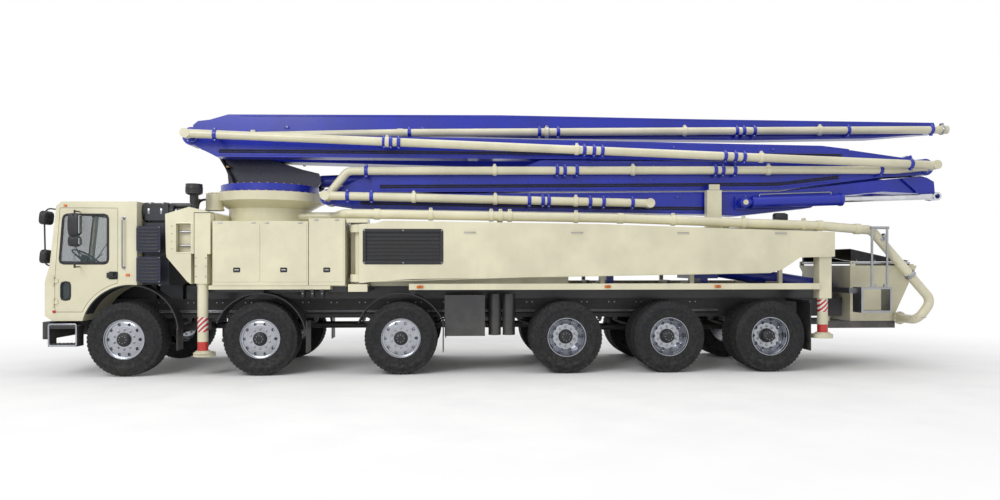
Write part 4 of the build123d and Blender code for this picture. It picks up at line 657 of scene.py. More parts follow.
# ---------------------------------------------------------------- wheels
def tyre(centre, width, radius):
    """A truck tyre: superellipse shoulders from bead to crown, with three ribs' grooves and notched shoulders.

    Half section: across = w * sin(a), radius = r0 + (R - r0) * |cos(a)|^0.42; the tread drops by its depth in a groove."""
    across_steps = np.linspace(-0.5, 0.5, 61)
    a = across_steps * np.pi
    bulge = np.sign(np.sin(a)) * np.abs(np.sin(a)) ** 0.8
    rim = 0.286
    half = width / 2
    across = bulge * half * (1 - 0.10 * (np.abs(across_steps) > 0.42) * (np.abs(across_steps) - 0.42) / 0.08)
    height = rim + (radius - 0.006 - rim) * np.abs(np.cos(a)) ** 0.36
    crown = np.abs(across) < half * 0.86
    height = np.where(crown, radius - 0.006 + 0.006 * (1 - (across / (half * 0.86)) ** 2), height)
    t = np.arange(216) * 2 * np.pi / 216
    share = across[None, :] / half
    groove = np.zeros((216, len(across)))
    for place in (-0.52, -0.18, 0.18, 0.52):
        groove = np.maximum(groove, (np.abs(share - place) < 0.045) * 1.0)
    notch = (np.arange(216)[:, None] % 4 == 0) & (np.abs(share) > 0.56) & (np.abs(share) < 0.88)
    sipe = (np.arange(216)[:, None] % 4 == 2) & (np.abs(share) < 0.48)
    depth = np.where(crown[None, :], 0.014 * groove + 0.012 * notch + 0.006 * sipe, 0.0)
    band = np.exp(-(((height - rim) / (radius - rim) - 0.55) / 0.05) ** 2) * (np.abs(share) > 0.8)
    reach = height[None, :] - np.minimum(depth, 0.016) + 0 * t[:, None]
    x = centre[0] + reach * np.cos(t)[:, None]
    z = centre[2] + reach * np.sin(t)[:, None]
    y = centre[1] + across[None, :] + np.sign(share) * 0.004 * band + 0 * t[:, None]
    points = np.stack([x, y, z], axis=-1)
    return skin(points, wrap_rows=True, wrap_columns=True)


def disc_face(centre, side, profile, hole_ring, hole_radius, hole_depth, holes=10):
    """A wheel disc from a profile of (outward place, radius); round hand holes are pressed into it.

    Each hole lowers the face by depth * (1 - s)^2 inside its own radius, s being the share of the way out."""
    profile = np.array(profile, float)
    run = np.concatenate([[0], np.cumsum(np.linalg.norm(np.diff(profile, axis=0), axis=1))])
    fine = np.linspace(0, run[-1], 70)
    fine = np.sort(np.concatenate([fine, run]))
    along, radius = np.interp(fine, run, profile[:, 0]), np.interp(fine, run, profile[:, 1])
    t = np.arange(240) * 2 * np.pi / 240
    turn = (t * holes / (2 * np.pi) + 0.5) % 1 - 0.5
    sideways = turn * 2 * np.pi / holes * hole_ring
    away = np.sqrt((radius[:, None] - hole_ring) ** 2 + sideways[None, :] ** 2)
    pressed = np.clip((hole_radius - away) / (hole_radius * 0.3), 0, 1) ** 0.7 * hole_depth
    flat = np.abs(np.gradient(along, radius + np.arange(len(radius)) * 1e-9)) < 1.5
    pressed = pressed * flat[:, None]
    deep = along[:, None] - pressed
    x = centre[0] + radius[:, None] * np.cos(t)
    z = centre[2] + radius[:, None] * np.sin(t)
    y = centre[1] + side * deep
    return skin(np.stack([x, y, z], axis=-1))


def wheel_metal(centre, side, dished, width):
    """Rim, disc, wheel bolts and hub cap of one wheel; the outer face looks away from the vehicle."""
    lip = width / 2 - 0.012
    if dished:
        face = lip - 0.165
        profile = [(lip - 0.006, 0.292), (lip, 0.289), (lip, 0.280), (lip - 0.03, 0.272), (face + 0.03, 0.262)]
        profile += [(face, 0.24), (face + 0.004, 0.225), (face + 0.02, 0.19), (face + 0.02, 0.0)]
        hub_low, hub_high, hub_radius = face + 0.018, face + 0.13, 0.098
        bolt_face, bolt_ring, hole_ring, hole_size = face + 0.021, 0.1425, 0.208, 0.024
    else:
        face = lip - 0.02
        profile = [(lip - 0.006, 0.292), (lip, 0.289), (lip, 0.281), (lip - 0.022, 0.274), (lip - 0.026, 0.262)]
        profile += [(face - 0.004, 0.252), (face + 0.002, 0.24), (face + 0.008, 0.205), (face + 0.012, 0.185),
            (face + 0.012, 0.0)]
        hub_low, hub_high, hub_radius = face + 0.01, face + 0.075, 0.092
        bolt_face, bolt_ring, hole_ring, hole_size = face + 0.013, 0.1425, 0.226, 0.021
    parts = [(*disc_face(centre, side, profile, hole_ring, hole_size, 0.05), 0)]
    back = [(-lip, 0.289), (-lip + 0.01, 0.28), (lip - 0.04, 0.266), (lip - 0.01, 0.29)]
    axis = (0, side, 0)
    parts.append((*turned(back, centre, axis, 64, closed=True), 0))
    ring_centre = np.array(centre) + np.array([0, side * bolt_face, 0])
    nuts = copies(bolt(axis, 0.0165, 0.024), on_circle(ring_centre, axis, bolt_ring, 10, 0.31))
    parts.append((*nuts, 2))
    washers = copies(drum((0, 0, 0), axis, 0.021, -0.002, 0.005, 0.001, 14),
        on_circle(ring_centre, axis, bolt_ring, 10, 0.31))
    parts.append((*washers, 2))
    cap = [(hub_low, 0.0), (hub_low, hub_radius + 0.012), (hub_low + 0.012, hub_radius + 0.01)]
    cap += [(hub_low + 0.018, hub_radius), (hub_high - 0.016, hub_radius - 0.006),
        (hub_high - 0.004, hub_radius - 0.018)]
    cap += [(hub_high, hub_radius - 0.03), (hub_high, 0.0)]
    parts.append((*turned(cap, centre, axis, 40), 1))
    cap_centre = np.array(centre) + np.array([0, side * hub_high, 0])
    parts.append((*copies(bolt(axis, 0.007, 0.006), on_circle(cap_centre, axis, hub_radius - 0.04, 8)), 2))
    valve = bent([(centre[0] + 0.25, 0, centre[2]), (centre[0] + 0.235, 0.03, centre[2]),
        (centre[0] + 0.19, 0.05, centre[2])], 0.012)
    valve = valve * np.array([1.0, side, 1.0]) + np.array([0, centre[1] + side * (lip - 0.06), 0])
    parts.append((*tube(valve, 0.005, 8), 1))
    return parts


def build_wheels():
    """Every road wheel: tyres, rims, wheel nuts and hub caps in place of the plain rounds."""
    radius = float(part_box("wheel_1_left")[1][2]) / 2
    metals = [finish_of("polished"), finish_of("plastic"), finish_of("steel")]
    single, dual = 0.385, 0.30
    for axle in range(1, 7):
        for name, side in SIDES.items():
            node = f"wheel_{axle}_{name}"
            centre = middle(node)
            low, high = (float(c[1]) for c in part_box(node))
            outer = high if side > 0 else low
            if axle <= 3:
                tyre_middle = outer - side * single / 2
                spots = [(np.array([centre[0], tyre_middle, radius]), single, False, side)]
            else:
                first = outer - side * dual / 2
                second = first - side * 0.34
                spots = [
                    (np.array([centre[0], first, radius]), dual, True, side),
                    (np.array([centre[0], second, radius]), dual, True, -side),
                ]
            tyres = [(*tyre(spot, width, radius), 0) for spot, width, _, _ in spots]
            piece(f"tyre_{axle}_{name}", tyres, node, finish_of("tyre"), [node], sharp=28)
            parts = []
            for index, (spot, width, dished, face) in enumerate(spots):
                if index == 0:
                    parts += wheel_metal(spot, face, dished, width)
                else:
                    lip = width / 2 - 0.012
                    back = [(-lip, 0.289), (-lip + 0.01, 0.28), (lip - 0.17, 0.262), (lip - 0.17, 0.05)]
                    back += [(lip - 0.155, 0.05), (lip - 0.155, 0.255), (lip - 0.02, 0.272), (lip, 0.289)]
                    parts.append((*turned(back, spot, (0, face, 0), 64, closed=True), 0))
            piece(f"rim_{axle}_{name}", parts, node, metals, sharp=32)


# ---------------------------------------------------------------- cab inside
def cushion(centre, half, lean=0.0, channels=4, across_axis=0):
    """A crowned pad: superellipse in plan, thickness t * (1 - |u|^4)^0.5 (1 - |v|^4)^0.5, with sewn channels and a welt."""
    n = 56
    a = np.linspace(0, 2 * np.pi, 2 * n, endpoint=False)
    b = np.linspace(-np.pi / 2, np.pi / 2, n)
    power = 0.42
    curve = lambda v: np.sign(v) * np.abs(v) ** power
    u = curve(np.cos(a))[None, :] * curve(np.cos(b))[:, None]
    v = curve(np.sin(a))[None, :] * curve(np.cos(b))[:, None]
    w = np.sign(np.sin(b)) * np.abs(np.sin(b)) ** 0.62
    w = w[:, None] + 0 * a[None, :]
    sewn = np.abs(np.sin((u if across_axis == 0 else v) * np.pi * channels / 2))
    groove = 1 - 0.20 * np.exp(-((sewn / 0.16) ** 2)) * (w > 0.3)
    pull = 1 - 0.05 * (1 - np.abs(w)) * np.abs(u) ** 6 * np.abs(v) ** 6
    x = half[0] * u * pull
    y = half[1] * v * pull
    z = half[2] * w * groove
    points = np.stack([x, y, z], axis=-1)
    c, s = math.cos(lean), math.sin(lean)
    turned_points = np.stack([c * points[..., 0] + s * points[..., 2], points[..., 1],
        -s * points[..., 0] + c * points[..., 2]], axis=-1)
    return skin(np.array(centre) + turned_points)


def build_cab_inside():
    """Two sprung seats, the dashboard with its hood and dials, and the steering wheel on its column."""
    for name, side in SIDES.items():
        y = side * 0.79
        base = piece(
            f"seat_cushion_{name}",
            [cushion((at(-0.22), y, 1.60), (0.255, 0.25, 0.075), 0.05, 4, 1)],
            "chassis",
            finish_of("cloth"),
            ["cab_interior"],
        )
        back = piece(
            f"seat_back_{name}",
            [cushion((at(0.015), y, 1.94), (0.32, 0.24, 0.062), -math.pi / 2 + 0.12, 4, 1)],
            "chassis",
            finish_of("cloth"),
            ["cab_interior"],
        )
        head = piece(
            f"seat_headrest_{name}",
            [cushion((at(0.055), y, 2.34), (0.075, 0.13, 0.045), -math.pi / 2 + 0.1, 1, 0)],
            "chassis",
            finish_of("cloth"),
            ["cab_interior"],
        )
        bellows = [(1.402, 0.0), (1.402, 0.16)]
        bellows += [(1.41 + 0.014 * k, 0.16 if k % 2 else 0.135) for k in range(9)] + [(1.54, 0.15), (1.54, 0.0)]
        parts = [
            turned(bellows, (at(-0.22), y, 0), (0, 0, 1), 4, angle=math.pi / 4),
            rounded_block(np.array([at(-0.46), y - 0.24, 1.525]), np.array([at(0.03), y + 0.24, 1.555]), 0.01),
            tube([(at(0.05), y - 0.05, 2.24), (at(0.058), y - 0.05, 2.31)], 0.006),
            tube([(at(0.05), y + 0.05, 2.24), (at(0.058), y + 0.05, 2.31)], 0.006),
        ]
        piece(f"seat_base_{name}", parts, "chassis", finish_of("plastic"))
    profile = np.array([(-1.085, 1.41), (-1.03, 1.595), (-0.95, 1.62), (-0.87, 1.60), (-0.85, 1.52),
        (-0.90, 1.40), (-1.0, 1.36)])
    profile[:, 0] += FRONT_AXLE
    dash = [(*plate(bent(profile, 0.02, 4, closed=True), "Y", -1.09, 1.09, 0.012), 0)]
    hood = bent(np.array([(at(-0.98), 1.60), (at(-0.90), 1.665), (at(-0.845), 1.62), (at(-0.86), 1.59)]),
        0.012, 4, closed=True)
    dash.append((*plate(hood, "Y", -1.0, -0.58, 0.008), 0))
    for y in (-0.88, -0.70):
        dash.append((*ring((at(-0.848), y, 1.57), (1, 0, 0.25), 0.045, 0.055, 0.0, 0.012, 0.003, 32), 2))
        dash.append((*drum((at(-0.848), y, 1.57), (1, 0, 0.25), 0.044, -0.002, 0.004, 0.001), 1))
    for y in (-0.4, -0.2, 0.0, 0.2, 0.4, 0.6):
        dash.append((*rounded_block(np.array([at(-0.862), y - 0.06, 1.49]),
            np.array([at(-0.846), y + 0.06, 1.56]), 0.006), 2))
    piece("dashboard", dash, "chassis", [finish_of("plastic"), finish_of("mirror"), finish_of("grey")])
    axis = unit(np.array([0.54, 0.0, 0.84]))
    hub = np.array([at(-0.749), -0.79, 1.738])
    _, p, q = axes_for(axis)
    t = np.linspace(0, 2 * np.pi, 48, endpoint=False)
    rim_path = hub + 0.2 * (np.cos(t)[:, None] * p + np.sin(t)[:, None] * q)
    wheel = [(*tube(rim_path, 0.013, 12, closed=True), 0),
        (*drum(hub - axis * 0.03, axis, 0.06, 0, 0.045, 0.012), 0)]
    for turn in (0.3, math.pi - 0.3, -math.pi / 2):
        end = hub + 0.19 * (math.cos(turn) * q + math.sin(turn) * p)
        wheel.append((*tube(np.linspace(hub - axis * 0.015, end, 6), 0.011, 8), 0))
    wheel.append((*tube([(at(-0.9), -0.79, 1.5), tuple(hub - axis * 0.03)], 0.03, 16), 0))
    wheel.append((*tube([tuple(hub - axis * 0.09), (hub[0] + 0.02, -0.60, hub[2] - 0.06)], 0.007, 8), 0))
    piece("steering_wheel", wheel, "chassis", finish_of("plastic"))


# ---------------------------------------------------------------- cab outside
def build_cab_trim():
    """Window gaskets, slot window, door handle, grab rails, wipers, front grille, lamps, marker lamps and step treads."""
    thick = bpy.context.scene.pump_sizes.gasket
    for name, side in SIDES.items():
        y = side * DOOR_FACE
        window = np.array([(at(-0.935), 1.64), (at(-0.88), 2.345), (at(-0.255), 2.345), (at(-0.255), 1.64)])
        slot = oblong((at(-0.915), 1.111), (at(-0.785), 1.371), 0.062, 6)
        parts = [
            (*hoop(bent(window, 0.07, 6, closed=True), "Y", y, thick, 0.008), 0),
            (*hoop(slot, "Y", y, thick * 0.7, 0.007), 0),
            (*plate(oblong((at(-0.245), 1.408), (at(-0.115), 1.522), 0.022), "Y", y, y + side * 0.006, 0.002), 0),
            (*tube(bent([(at(-0.225), y, 1.45), (at(-0.225), y + side * 0.026, 1.45),
                (at(-0.135), y + side * 0.026, 1.45), (at(-0.135), y, 1.45)], 0.008), 0.009, 8), 0),
            (*drum((at(-0.15), y, 1.49), (0, side, 0), 0.011, -0.002, 0.006, 0.001, 16), 1),
        ]
        piece(f"door_trim_{name}", parts, f"cab_door_{name}", [finish_of("rubber"), finish_of("steel")])
        back = side * (DOOR_FACE + 0.012)
        rail = bent([(at(-0.03), side * 1.15, 2.3), (at(-0.03), back + side * 0.045, 2.3),
            (at(-0.03), back + side * 0.045, 1.58), (at(-0.03), side * 1.15, 1.58)], 0.03)
        trim = [(*tube(rail, 0.013, 10), 0)]
        for z in (2.3, 1.58):
            trim.append((*drum((at(-0.03), y, z), (0, side, 0), 0.026, -0.002, 0.008, 0.002, 20), 0))
        trim.append((*rounded_block(np.array([at(0.0), y - side * 0.004, 1.455]),
            np.array([at(0.055), y + side * 0.02, 1.49]), 0.008), 1))
        trim.append((*rounded_block(np.array([at(-0.875), y - side * 0.004, 2.46]),
            np.array([at(-0.83), y + side * 0.018, 2.492]), 0.008), 1))
        trim.append((*rounded_block(np.array([at(-1.03), y - side * 0.004, 0.925]),
            np.array([at(-0.985), y + side * 0.018, 0.96]), 0.008), 2))
        piece(f"cab_side_trim_{name}", trim, "chassis",
            [finish_of("steel"), finish_of("orange"), finish_of("red")])
        arm = bent([(at(-0.99), side * 1.02, 2.42), (at(-1.12), side * 1.12, 2.44),
            (at(-1.165), side * 1.13, 2.36), (at(-1.155), side * 1.12, 1.62), (at(-1.09), side * 1.03, 1.60)],
            0.05, 6)
        mirror = [
            (*tube(arm, 0.011, 10), 0),
            (*cushion((at(-1.15), side * 1.10, 2.30), (0.055, 0.13, 0.10), 0.1, 1, 0), 0),
            (*cushion((at(-1.15), side * 1.12, 1.74), (0.05, 0.10, 0.10), 0.1, 1, 0), 0),
        ]
        piece(f"front_mirror_{name}", mirror, "chassis", finish_of("plastic"))
        side_mirror = [
            (*cushion((at(-0.641), side * 1.33, 2.19), (0.082, 0.055, 0.165), 0.0, 1, 0), 0),
            (*cushion((at(-0.641), side * 1.33, 1.955), (0.08, 0.05, 0.075), 0.0, 1, 0), 0),
            (*plate(oblong((side * 1.285, 2.06), (side * 1.372, 2.325), 0.02), "X", at(-0.567), at(-0.557),
                0.003), 1),
            (*plate(oblong((side * 1.285, 1.905), (side * 1.372, 2.005), 0.02), "X", at(-0.567), at(-0.557),
                0.003), 1),
        ]
        piece(f"side_mirror_{name}", side_mirror, f"cab_door_{name}",
            [finish_of("plastic"), finish_of("mirror")])
    front = []
    lean = lambda z: at(-1.074 + (z - 1.617) / 0.853 * 0.091) - 0.004
    for side in SIDES.values():
        y0, y1 = side * 0.045, side * 1.04
        o = bent([(y0, 1.66), (y1, 1.66), (y1, 2.41), (y0, 2.41)], 0.06, 6, closed=True)
        points, faces = hoop(o, "X", 0.0, thick * 0.9, 0.008)
        points = points + np.stack([lean(points[:, 2]), 0 * points[:, 0], 0 * points[:, 0]], axis=-1)
        front.append((points, faces, 0))
        blade = np.array([(lean(1.66) - 0.03, side * 0.12, 1.655), (lean(1.8) - 0.035, side * 0.46, 1.80)])
        front.append((*tube(np.vstack([blade[0] + (0.03, 0, -0.02), blade]), 0.008, 8), 0))
        wiper = np.array([(lean(1.67) - 0.022, side * 0.22, 1.68), (lean(2.2) - 0.022, side * 0.62, 2.06)])
        front.append((*tube(np.linspace(wiper[0], wiper[1], 8), 0.007, 8), 0))
    outline = oblong((-0.88, 1.0), (0.88, 1.29), 0.03)
    front.append((*plate(outline, "X", at(-1.15), at(-1.142), 0.003), 0))
    for k in range(6):
        z = 1.03 + k * 0.045
        front.append((*rounded_block(np.array([at(-1.162), -0.84, z]),
            np.array([at(-1.148), 0.84, z + 0.022]), 0.006), 0))
    front.append((*plate(oblong((-1.08, 1.40), (1.08, 1.58), 0.02), "X", at(-1.1), at(-1.085), 0.002), 1))
    points, faces, _ = front[-1]
    points = points + np.stack([(points[:, 2] - 1.40) / 0.246 * 0.07 - 0.045, 0 * points[:, 0],
        0 * points[:, 0]], axis=-1)
    front[-1] = (points, faces, 1)
    for y in np.linspace(-0.9, 0.9, 5):
        front.append((*rounded_block(np.array([at(-0.955), y - 0.045, 2.505]),
            np.array([at(-0.905), y + 0.045, 2.535]), 0.01), 3))
    materials = [finish_of("rubber"), finish_of("cream"), finish_of("clear"), finish_of("orange"),
        finish_of("steel")]
    piece("cab_front_trim", front, "chassis", materials)
    lamps = []
    for side in SIDES.values():
        for y, radius in ((0.99, 0.075), (0.80, 0.062)):
            centre = (at(-1.175), side * y, 0.69)
            lamps.append((*ring(centre, (-1, 0, 0), radius, radius + 0.012, 0.0, 0.012, 0.003, 36), 0))
            dome = [(0.0, 0.0), (0.0, radius)] + [(0.016 * math.sin(a),
                radius * math.cos(a)) for a in np.linspace(0.1, 1.4, 6)] + [(0.016, 0.0)]
            lamps.append((*turned(dome, centre, (-1, 0, 0), 36), 1))
        lamps.append((*rounded_block(np.array([at(-1.19), side * 0.66, 0.66]),
            np.array([at(-1.175), side * 0.56, 0.72]), 0.008), 2))
    for y in (-0.3, 0.3):
        lamps.append((*ring((at(-1.182), y, 0.63), (-1, 0, 0), 0.028, 0.045, 0.0, 0.014, 0.004, 28), 0))
    lamps.append((*plate(oblong((-0.26, 0.62), (0.26, 0.73), 0.012), "X", at(-1.186), at(-1.178), 0.002), 3))
    lamps.append((*plate(oblong((-0.5, 0.575), (0.5, 0.60), 0.01), "X", at(-1.19), at(-1.178), 0.002), 0))
    piece("bumper_lamps", lamps, "chassis", [finish_of("plastic"), finish_of("clear"), finish_of("orange"),
        finish_of("steel")])
    steps = []
    for side in SIDES.values():
        for z in (0.479, 0.735):
            for k in range(7):
                x = -1.045 + k * 0.055
                low, high = np.array([at(x), side * 1.05, z - 0.002]), np.array([at(x + 0.02), side * 1.225,
                    z + 0.006])
                steps.append((*rounded_block(low, high, 0.003, 1), 0))
        face = side * 1.232
        frame_line = bent([(at(-1.05), 0.455), (at(-0.665), 0.455), (at(-0.665), 0.765), (at(-1.05), 0.765)],
            0.03, 5, closed=True)
        steps.append((*hoop(frame_line, "Y", face, 0.024, 0.008), 0))
    piece("step_treads", steps, "chassis", finish_of("polished"))


# ---------------------------------------------------------------- behind the cab
def build_behind_cab():
    """Cooling tower panels and louvres, air canister, mushroom inlet cap, ribbed hose and its clips."""
    parts = []
    face = -1.205
    for bottom, top in ((1.36, 1.74), (1.80, 2.18)):
        parts.append((*plate(oblong((at(0.165), bottom), (at(0.505), top), 0.02), "Y", face + 0.006,
            face - 0.008, 0.003), 0))
        for k in range(7):
            z = bottom + 0.03 + k * (top - bottom - 0.06) / 6.4
            parts.append((*rounded_block(np.array([at(0.19), face - 0.016, z]),
                np.array([at(0.48), face - 0.006, z + 0.026]), 0.006), 1))
        for x in (0.18, 0.49):
            for z in (bottom + 0.015, top - 0.015):
                parts.append((*copies(bolt((0, -1, 0), 0.008, 0.006), [(at(x), face - 0.008, z)]), 2))
    profile = [(0.0, 0.0), (0.0, 0.125), (0.012, 0.138), (0.05, 0.14), (0.06, 0.134), (0.30, 0.134), (0.31, 0.14)]
    profile += [(0.35, 0.14), (0.40, 0.12), (0.45, 0.11), (0.46, 0.0)]
    parts.append((*turned(profile, (at(0.14), -0.86, 2.41), (1, 0, 0), 56), 1))
    for x in (0.24, 0.42):
        parts.append((*ring((at(x), -0.86, 2.41), (1, 0, 0), 0.134, 0.146, 0.0, 0.03, 0.003, 56), 2))
    piece("tower_panels", parts, "chassis", [finish_of("navy"), finish_of("plastic"), finish_of("steel")])
    cap = [(-0.02, 0.0), (-0.02, 0.062), (0.10, 0.062)]
    cap += [(0.10 + 0.012 * k, 0.09 + 0.008 * (k % 2)) for k in range(5)]
    cap += [(0.165, 0.118), (0.185, 0.124), (0.215, 0.122), (0.245, 0.108), (0.262, 0.08), (0.268, 0.0)]
    parts = [(*turned(cap, (at(0.859), -0.85, 2.57), (0, 0, 1), 48), 0)]
    for place in on_circle((at(0.859), -0.85, 2.745), (0, 0, 1), 0.119, 30):
        parts.append((*rounded_block(place - np.array([0.004, 0.004, 0.04]),
            place + np.array([0.004, 0.004, 0.04]), 0.003, 1), 0))
    run = np.linspace(0, 1, 60)
    start, end = np.array([at(0.60), -0.86, 2.42]), np.array([at(0.66), -0.86, 2.14])
    path = start + (end - start) * (run**1.4)[:, None] + np.array([0.10, 0, 0.0]) * np.sin(np.pi * run)[:, None]
    points, faces = tube(path, 0.04, 20)
    rings = points.reshape(60, 20, 3)
    hub = path[:, None]
    swell = (1 + 0.09 * np.cos(np.arange(60) * np.pi))[:, None, None]
    parts.append((*(((rings - hub) * swell + hub).reshape(-1, 3), faces), 1))
    for place in (path[1], path[-2]):
        parts.append((*ring(place, (0.1, 0, -1) if place[2] < 2.3 else (1, 0, -0.2), 0.04, 0.049, -0.012,
            0.012, 0.002, 28), 2))
    piece("air_inlet", parts, "chassis", [finish_of("plastic"), finish_of("grey"), finish_of("steel")])


# ---------------------------------------------------------------- pedestal and turret
def build_pedestal_trim():
    """Slewing ring bolts, flange bolts, gearbox and its hoses, housing pocket frame, and pin caps and hoses on the
    turret.
    """
    axis_x = at(1.78)
    parts = []
    for radius, z, count, kind in ((0.80, 2.745, 40, 1), (0.70, 2.87, 36, 1)):
        head = bolt((0, 0, 1), 0.017, 0.016)
        spots = on_circle((axis_x, 0, z), (0, 0, 1), radius, count)
        body = "chassis" if z < 2.8 else "turret"
        washers = copies(drum((0, 0, 0), (0, 0, 1), 0.023, -0.002, 0.004, 0.001, 16), spots)
        piece(f"ring_bolts_{body}", [(*copies(head, spots), 0), (*washers, 0)], body, finish_of("bronze"))
    centre = (at(1.04), -0.47, 0)
    profile = [(2.69, 0.0), (2.69, 0.128), (2.715, 0.128), (2.72, 0.112), (2.732, 0.10), (2.738, 0.08), (2.74, 0.0)]
    parts.append((*turned(profile, centre, (0, 0, 1), 40), 0))
    parts.append((*ring((centre[0], centre[1], 2.46), (0, 0, 1), 0.128, 0.142, 0.0, 0.03, 0.004, 40), 0))
    parts.append((*copies(bolt((0, 0, 1), 0.009, 0.009),
        on_circle((centre[0], centre[1], 2.716), (0, 0, 1), 0.12, 12)), 1))
    for k in range(3):
        offset = np.array([0.0, 0.035 * (k - 1), 0.0])
        corners = np.array([(at(0.92), -0.47, 2.63), (at(0.83), -0.48, 2.64), (at(0.78), -0.5, 2.56),
            (at(0.79), -0.5, 2.40)]) + offset
        parts.append((*tube(bent(corners, 0.09, 8), 0.013, 12), 2))
    piece("slew_gearbox", parts, "chassis", [finish_of("cream"), finish_of("bronze"), finish_of("rubber")])
    housing = []
    for side in SIDES.values():
        face = side * BOX_FACE
        stations = (0.73, 0.96) if side < 0 else (0.985, 1.2)
        pocket = oblong((at(stations[0]), 1.793), (at(stations[1]), 2.226), 0.02)
        housing.append((*hoop(pocket, "Y", face, 0.022, 0.006), 0))
        for z in (1.9, 2.1):
            housing.append((*tube([(at(stations[0]) + 0.03, side * 1.16, z),
                (at(stations[1]) - 0.03, side * 1.16, z)], 0.016, 12), 1))
        for z in np.linspace(1.85, 2.18, 4):
            housing.append((*copies(bolt((0, side, 0), 0.009, 0.007), [(at(stations[0]) - 0.05, face, z)]), 1))
    piece("housing_trim", housing, "chassis", [finish_of("cream"), finish_of("steel")])
    low_pin, high_pin = (at(1.05), 3.45), (at(2.43), 2.99)
    caps = []
    for x, z in (low_pin, high_pin):
        for y, facing in ((-0.06, -1), (0.46, 1)):
            size = 0.10 if x < at(2) else 0.07
            if x > at(2):
                y = 0.04 if facing < 0 else 0.36
            caps.append((*drum((x, y, z), (0, facing, 0), size, -0.004, 0.014, 0.004, 40), 0))
            caps.append((*copies(bolt((0, facing, 0), 0.012, 0.01),
                on_circle((x, y + facing * 0.014, z), (0, facing, 0), size * 0.7, 6)), 1))
    for k in range(4):
        y = -0.075 - 0.028 * k
        corners = [(at(1.25), y, 2.86), (at(1.2), y, 3.02), (at(1.08), y, 3.22), (at(1.0), y, 3.36),
            (at(1.1), y, 3.54), (at(1.35), y, 3.58)]
        caps.append((*tube(bent(corners, 0.06, 7), 0.011, 10), 2))
    caps.append((*rounded_block(np.array([at(1.12), -0.175, 3.17]), np.array([at(1.17), -0.045, 3.2]), 0.006), 1))
    piece("turret_pins", caps, "turret", [finish_of("navy"), finish_of("bronze"), finish_of("rubber")])


# ---------------------------------------------------------------- cabinets and outriggers
def build_cabinet_trim():
    """Door panels with eased edges, flush latches, hinges, marker lamps and the brackets under the sill."""
    parts = []
    for side in SIDES.values():
        face = side * BOX_FACE
        for low, high in (((1.275, 1.37), (1.93, 2.235)), ((1.945, 1.37), (2.605, 2.235)),
                ((2.655, 1.37), (3.135, 2.28))):
            outline = oblong((at(low[0]), low[1]), (at(high[0]), high[1]), 0.025)
            parts.append((*plate(outline, "Y", face - side * 0.002, face + side * 0.007, 0.003), 0))
            middle_x = at((low[0] + high[0]) / 2)
            latch_z = low[1] + 0.14
            parts.append((*plate(oblong((middle_x - 0.05, latch_z), (middle_x + 0.05, latch_z + 0.07), 0.012),
                "Y", face + side * 0.006, face + side * 0.011, 0.002), 1))
            parts.append((*tube([(middle_x - 0.03, face + side * 0.016, latch_z + 0.035),
                (middle_x + 0.03, face + side * 0.016, latch_z + 0.035)], 0.006, 8), 2))
            for x in (at(low[0]) + 0.09, at(high[0]) - 0.09):
                parts.append((*drum((x - 0.03, face + side * 0.01, high[1] - 0.004), (1, 0, 0), 0.009, 0,
                    0.06, 0.002, 16), 2))
        for x in (2.52, 2.66, 2.80):
            parts.append((*rounded_block(np.array([at(x), side * 1.13, 1.14]),
                np.array([at(x + 0.05), side * 1.235, 1.262]), 0.012), 3))
            parts.append((*copies(bolt((0, side, 0), 0.011, 0.009), [(at(x + 0.025), side * 1.235, 1.2)]), 2))
        for x in (4.25, 7.04, 8.71):
            parts.append((*rounded_block(np.array([at(x - 0.05), side * 1.243, 1.275]),
                np.array([at(x + 0.05), side * 1.262, 1.315]), 0.008), 4))
            parts.append((*ring((at(x), side * 1.262, 1.295), (0, side, 0), 0.014, 0.02, -0.003, 0.003, 0.001,
                24), 1))
    kinds = [finish_of("cream"), finish_of("plastic"), finish_of("steel"), finish_of("dark"), finish_of("orange")]
    piece("cabinet_doors", parts, "chassis", kinds)
    deck = []
    for side in SIDES.values():
        for k in range(22):
            x = 3.6 + k * 0.315
            if abs(x - 8.815) < 0.3:
                continue
            low = np.array([at(x), side * 0.70, 2.1985 if x > 6.5 else 2.1885])
            deck.append((*rounded_block(low, low + np.array([0.19, side * 0.012, 0.006]), 0.003, 1), 0))
    piece("deck_ribs", deck, "chassis", finish_of("cream"))
    pad = [(*rounded_block(np.array([at(8.72), -0.79, 2.785]), np.array([at(8.91), -0.66, 2.7955]), 0.005), 0)]
    piece("boom_rest_pad", pad, "chassis", finish_of("rubber"))


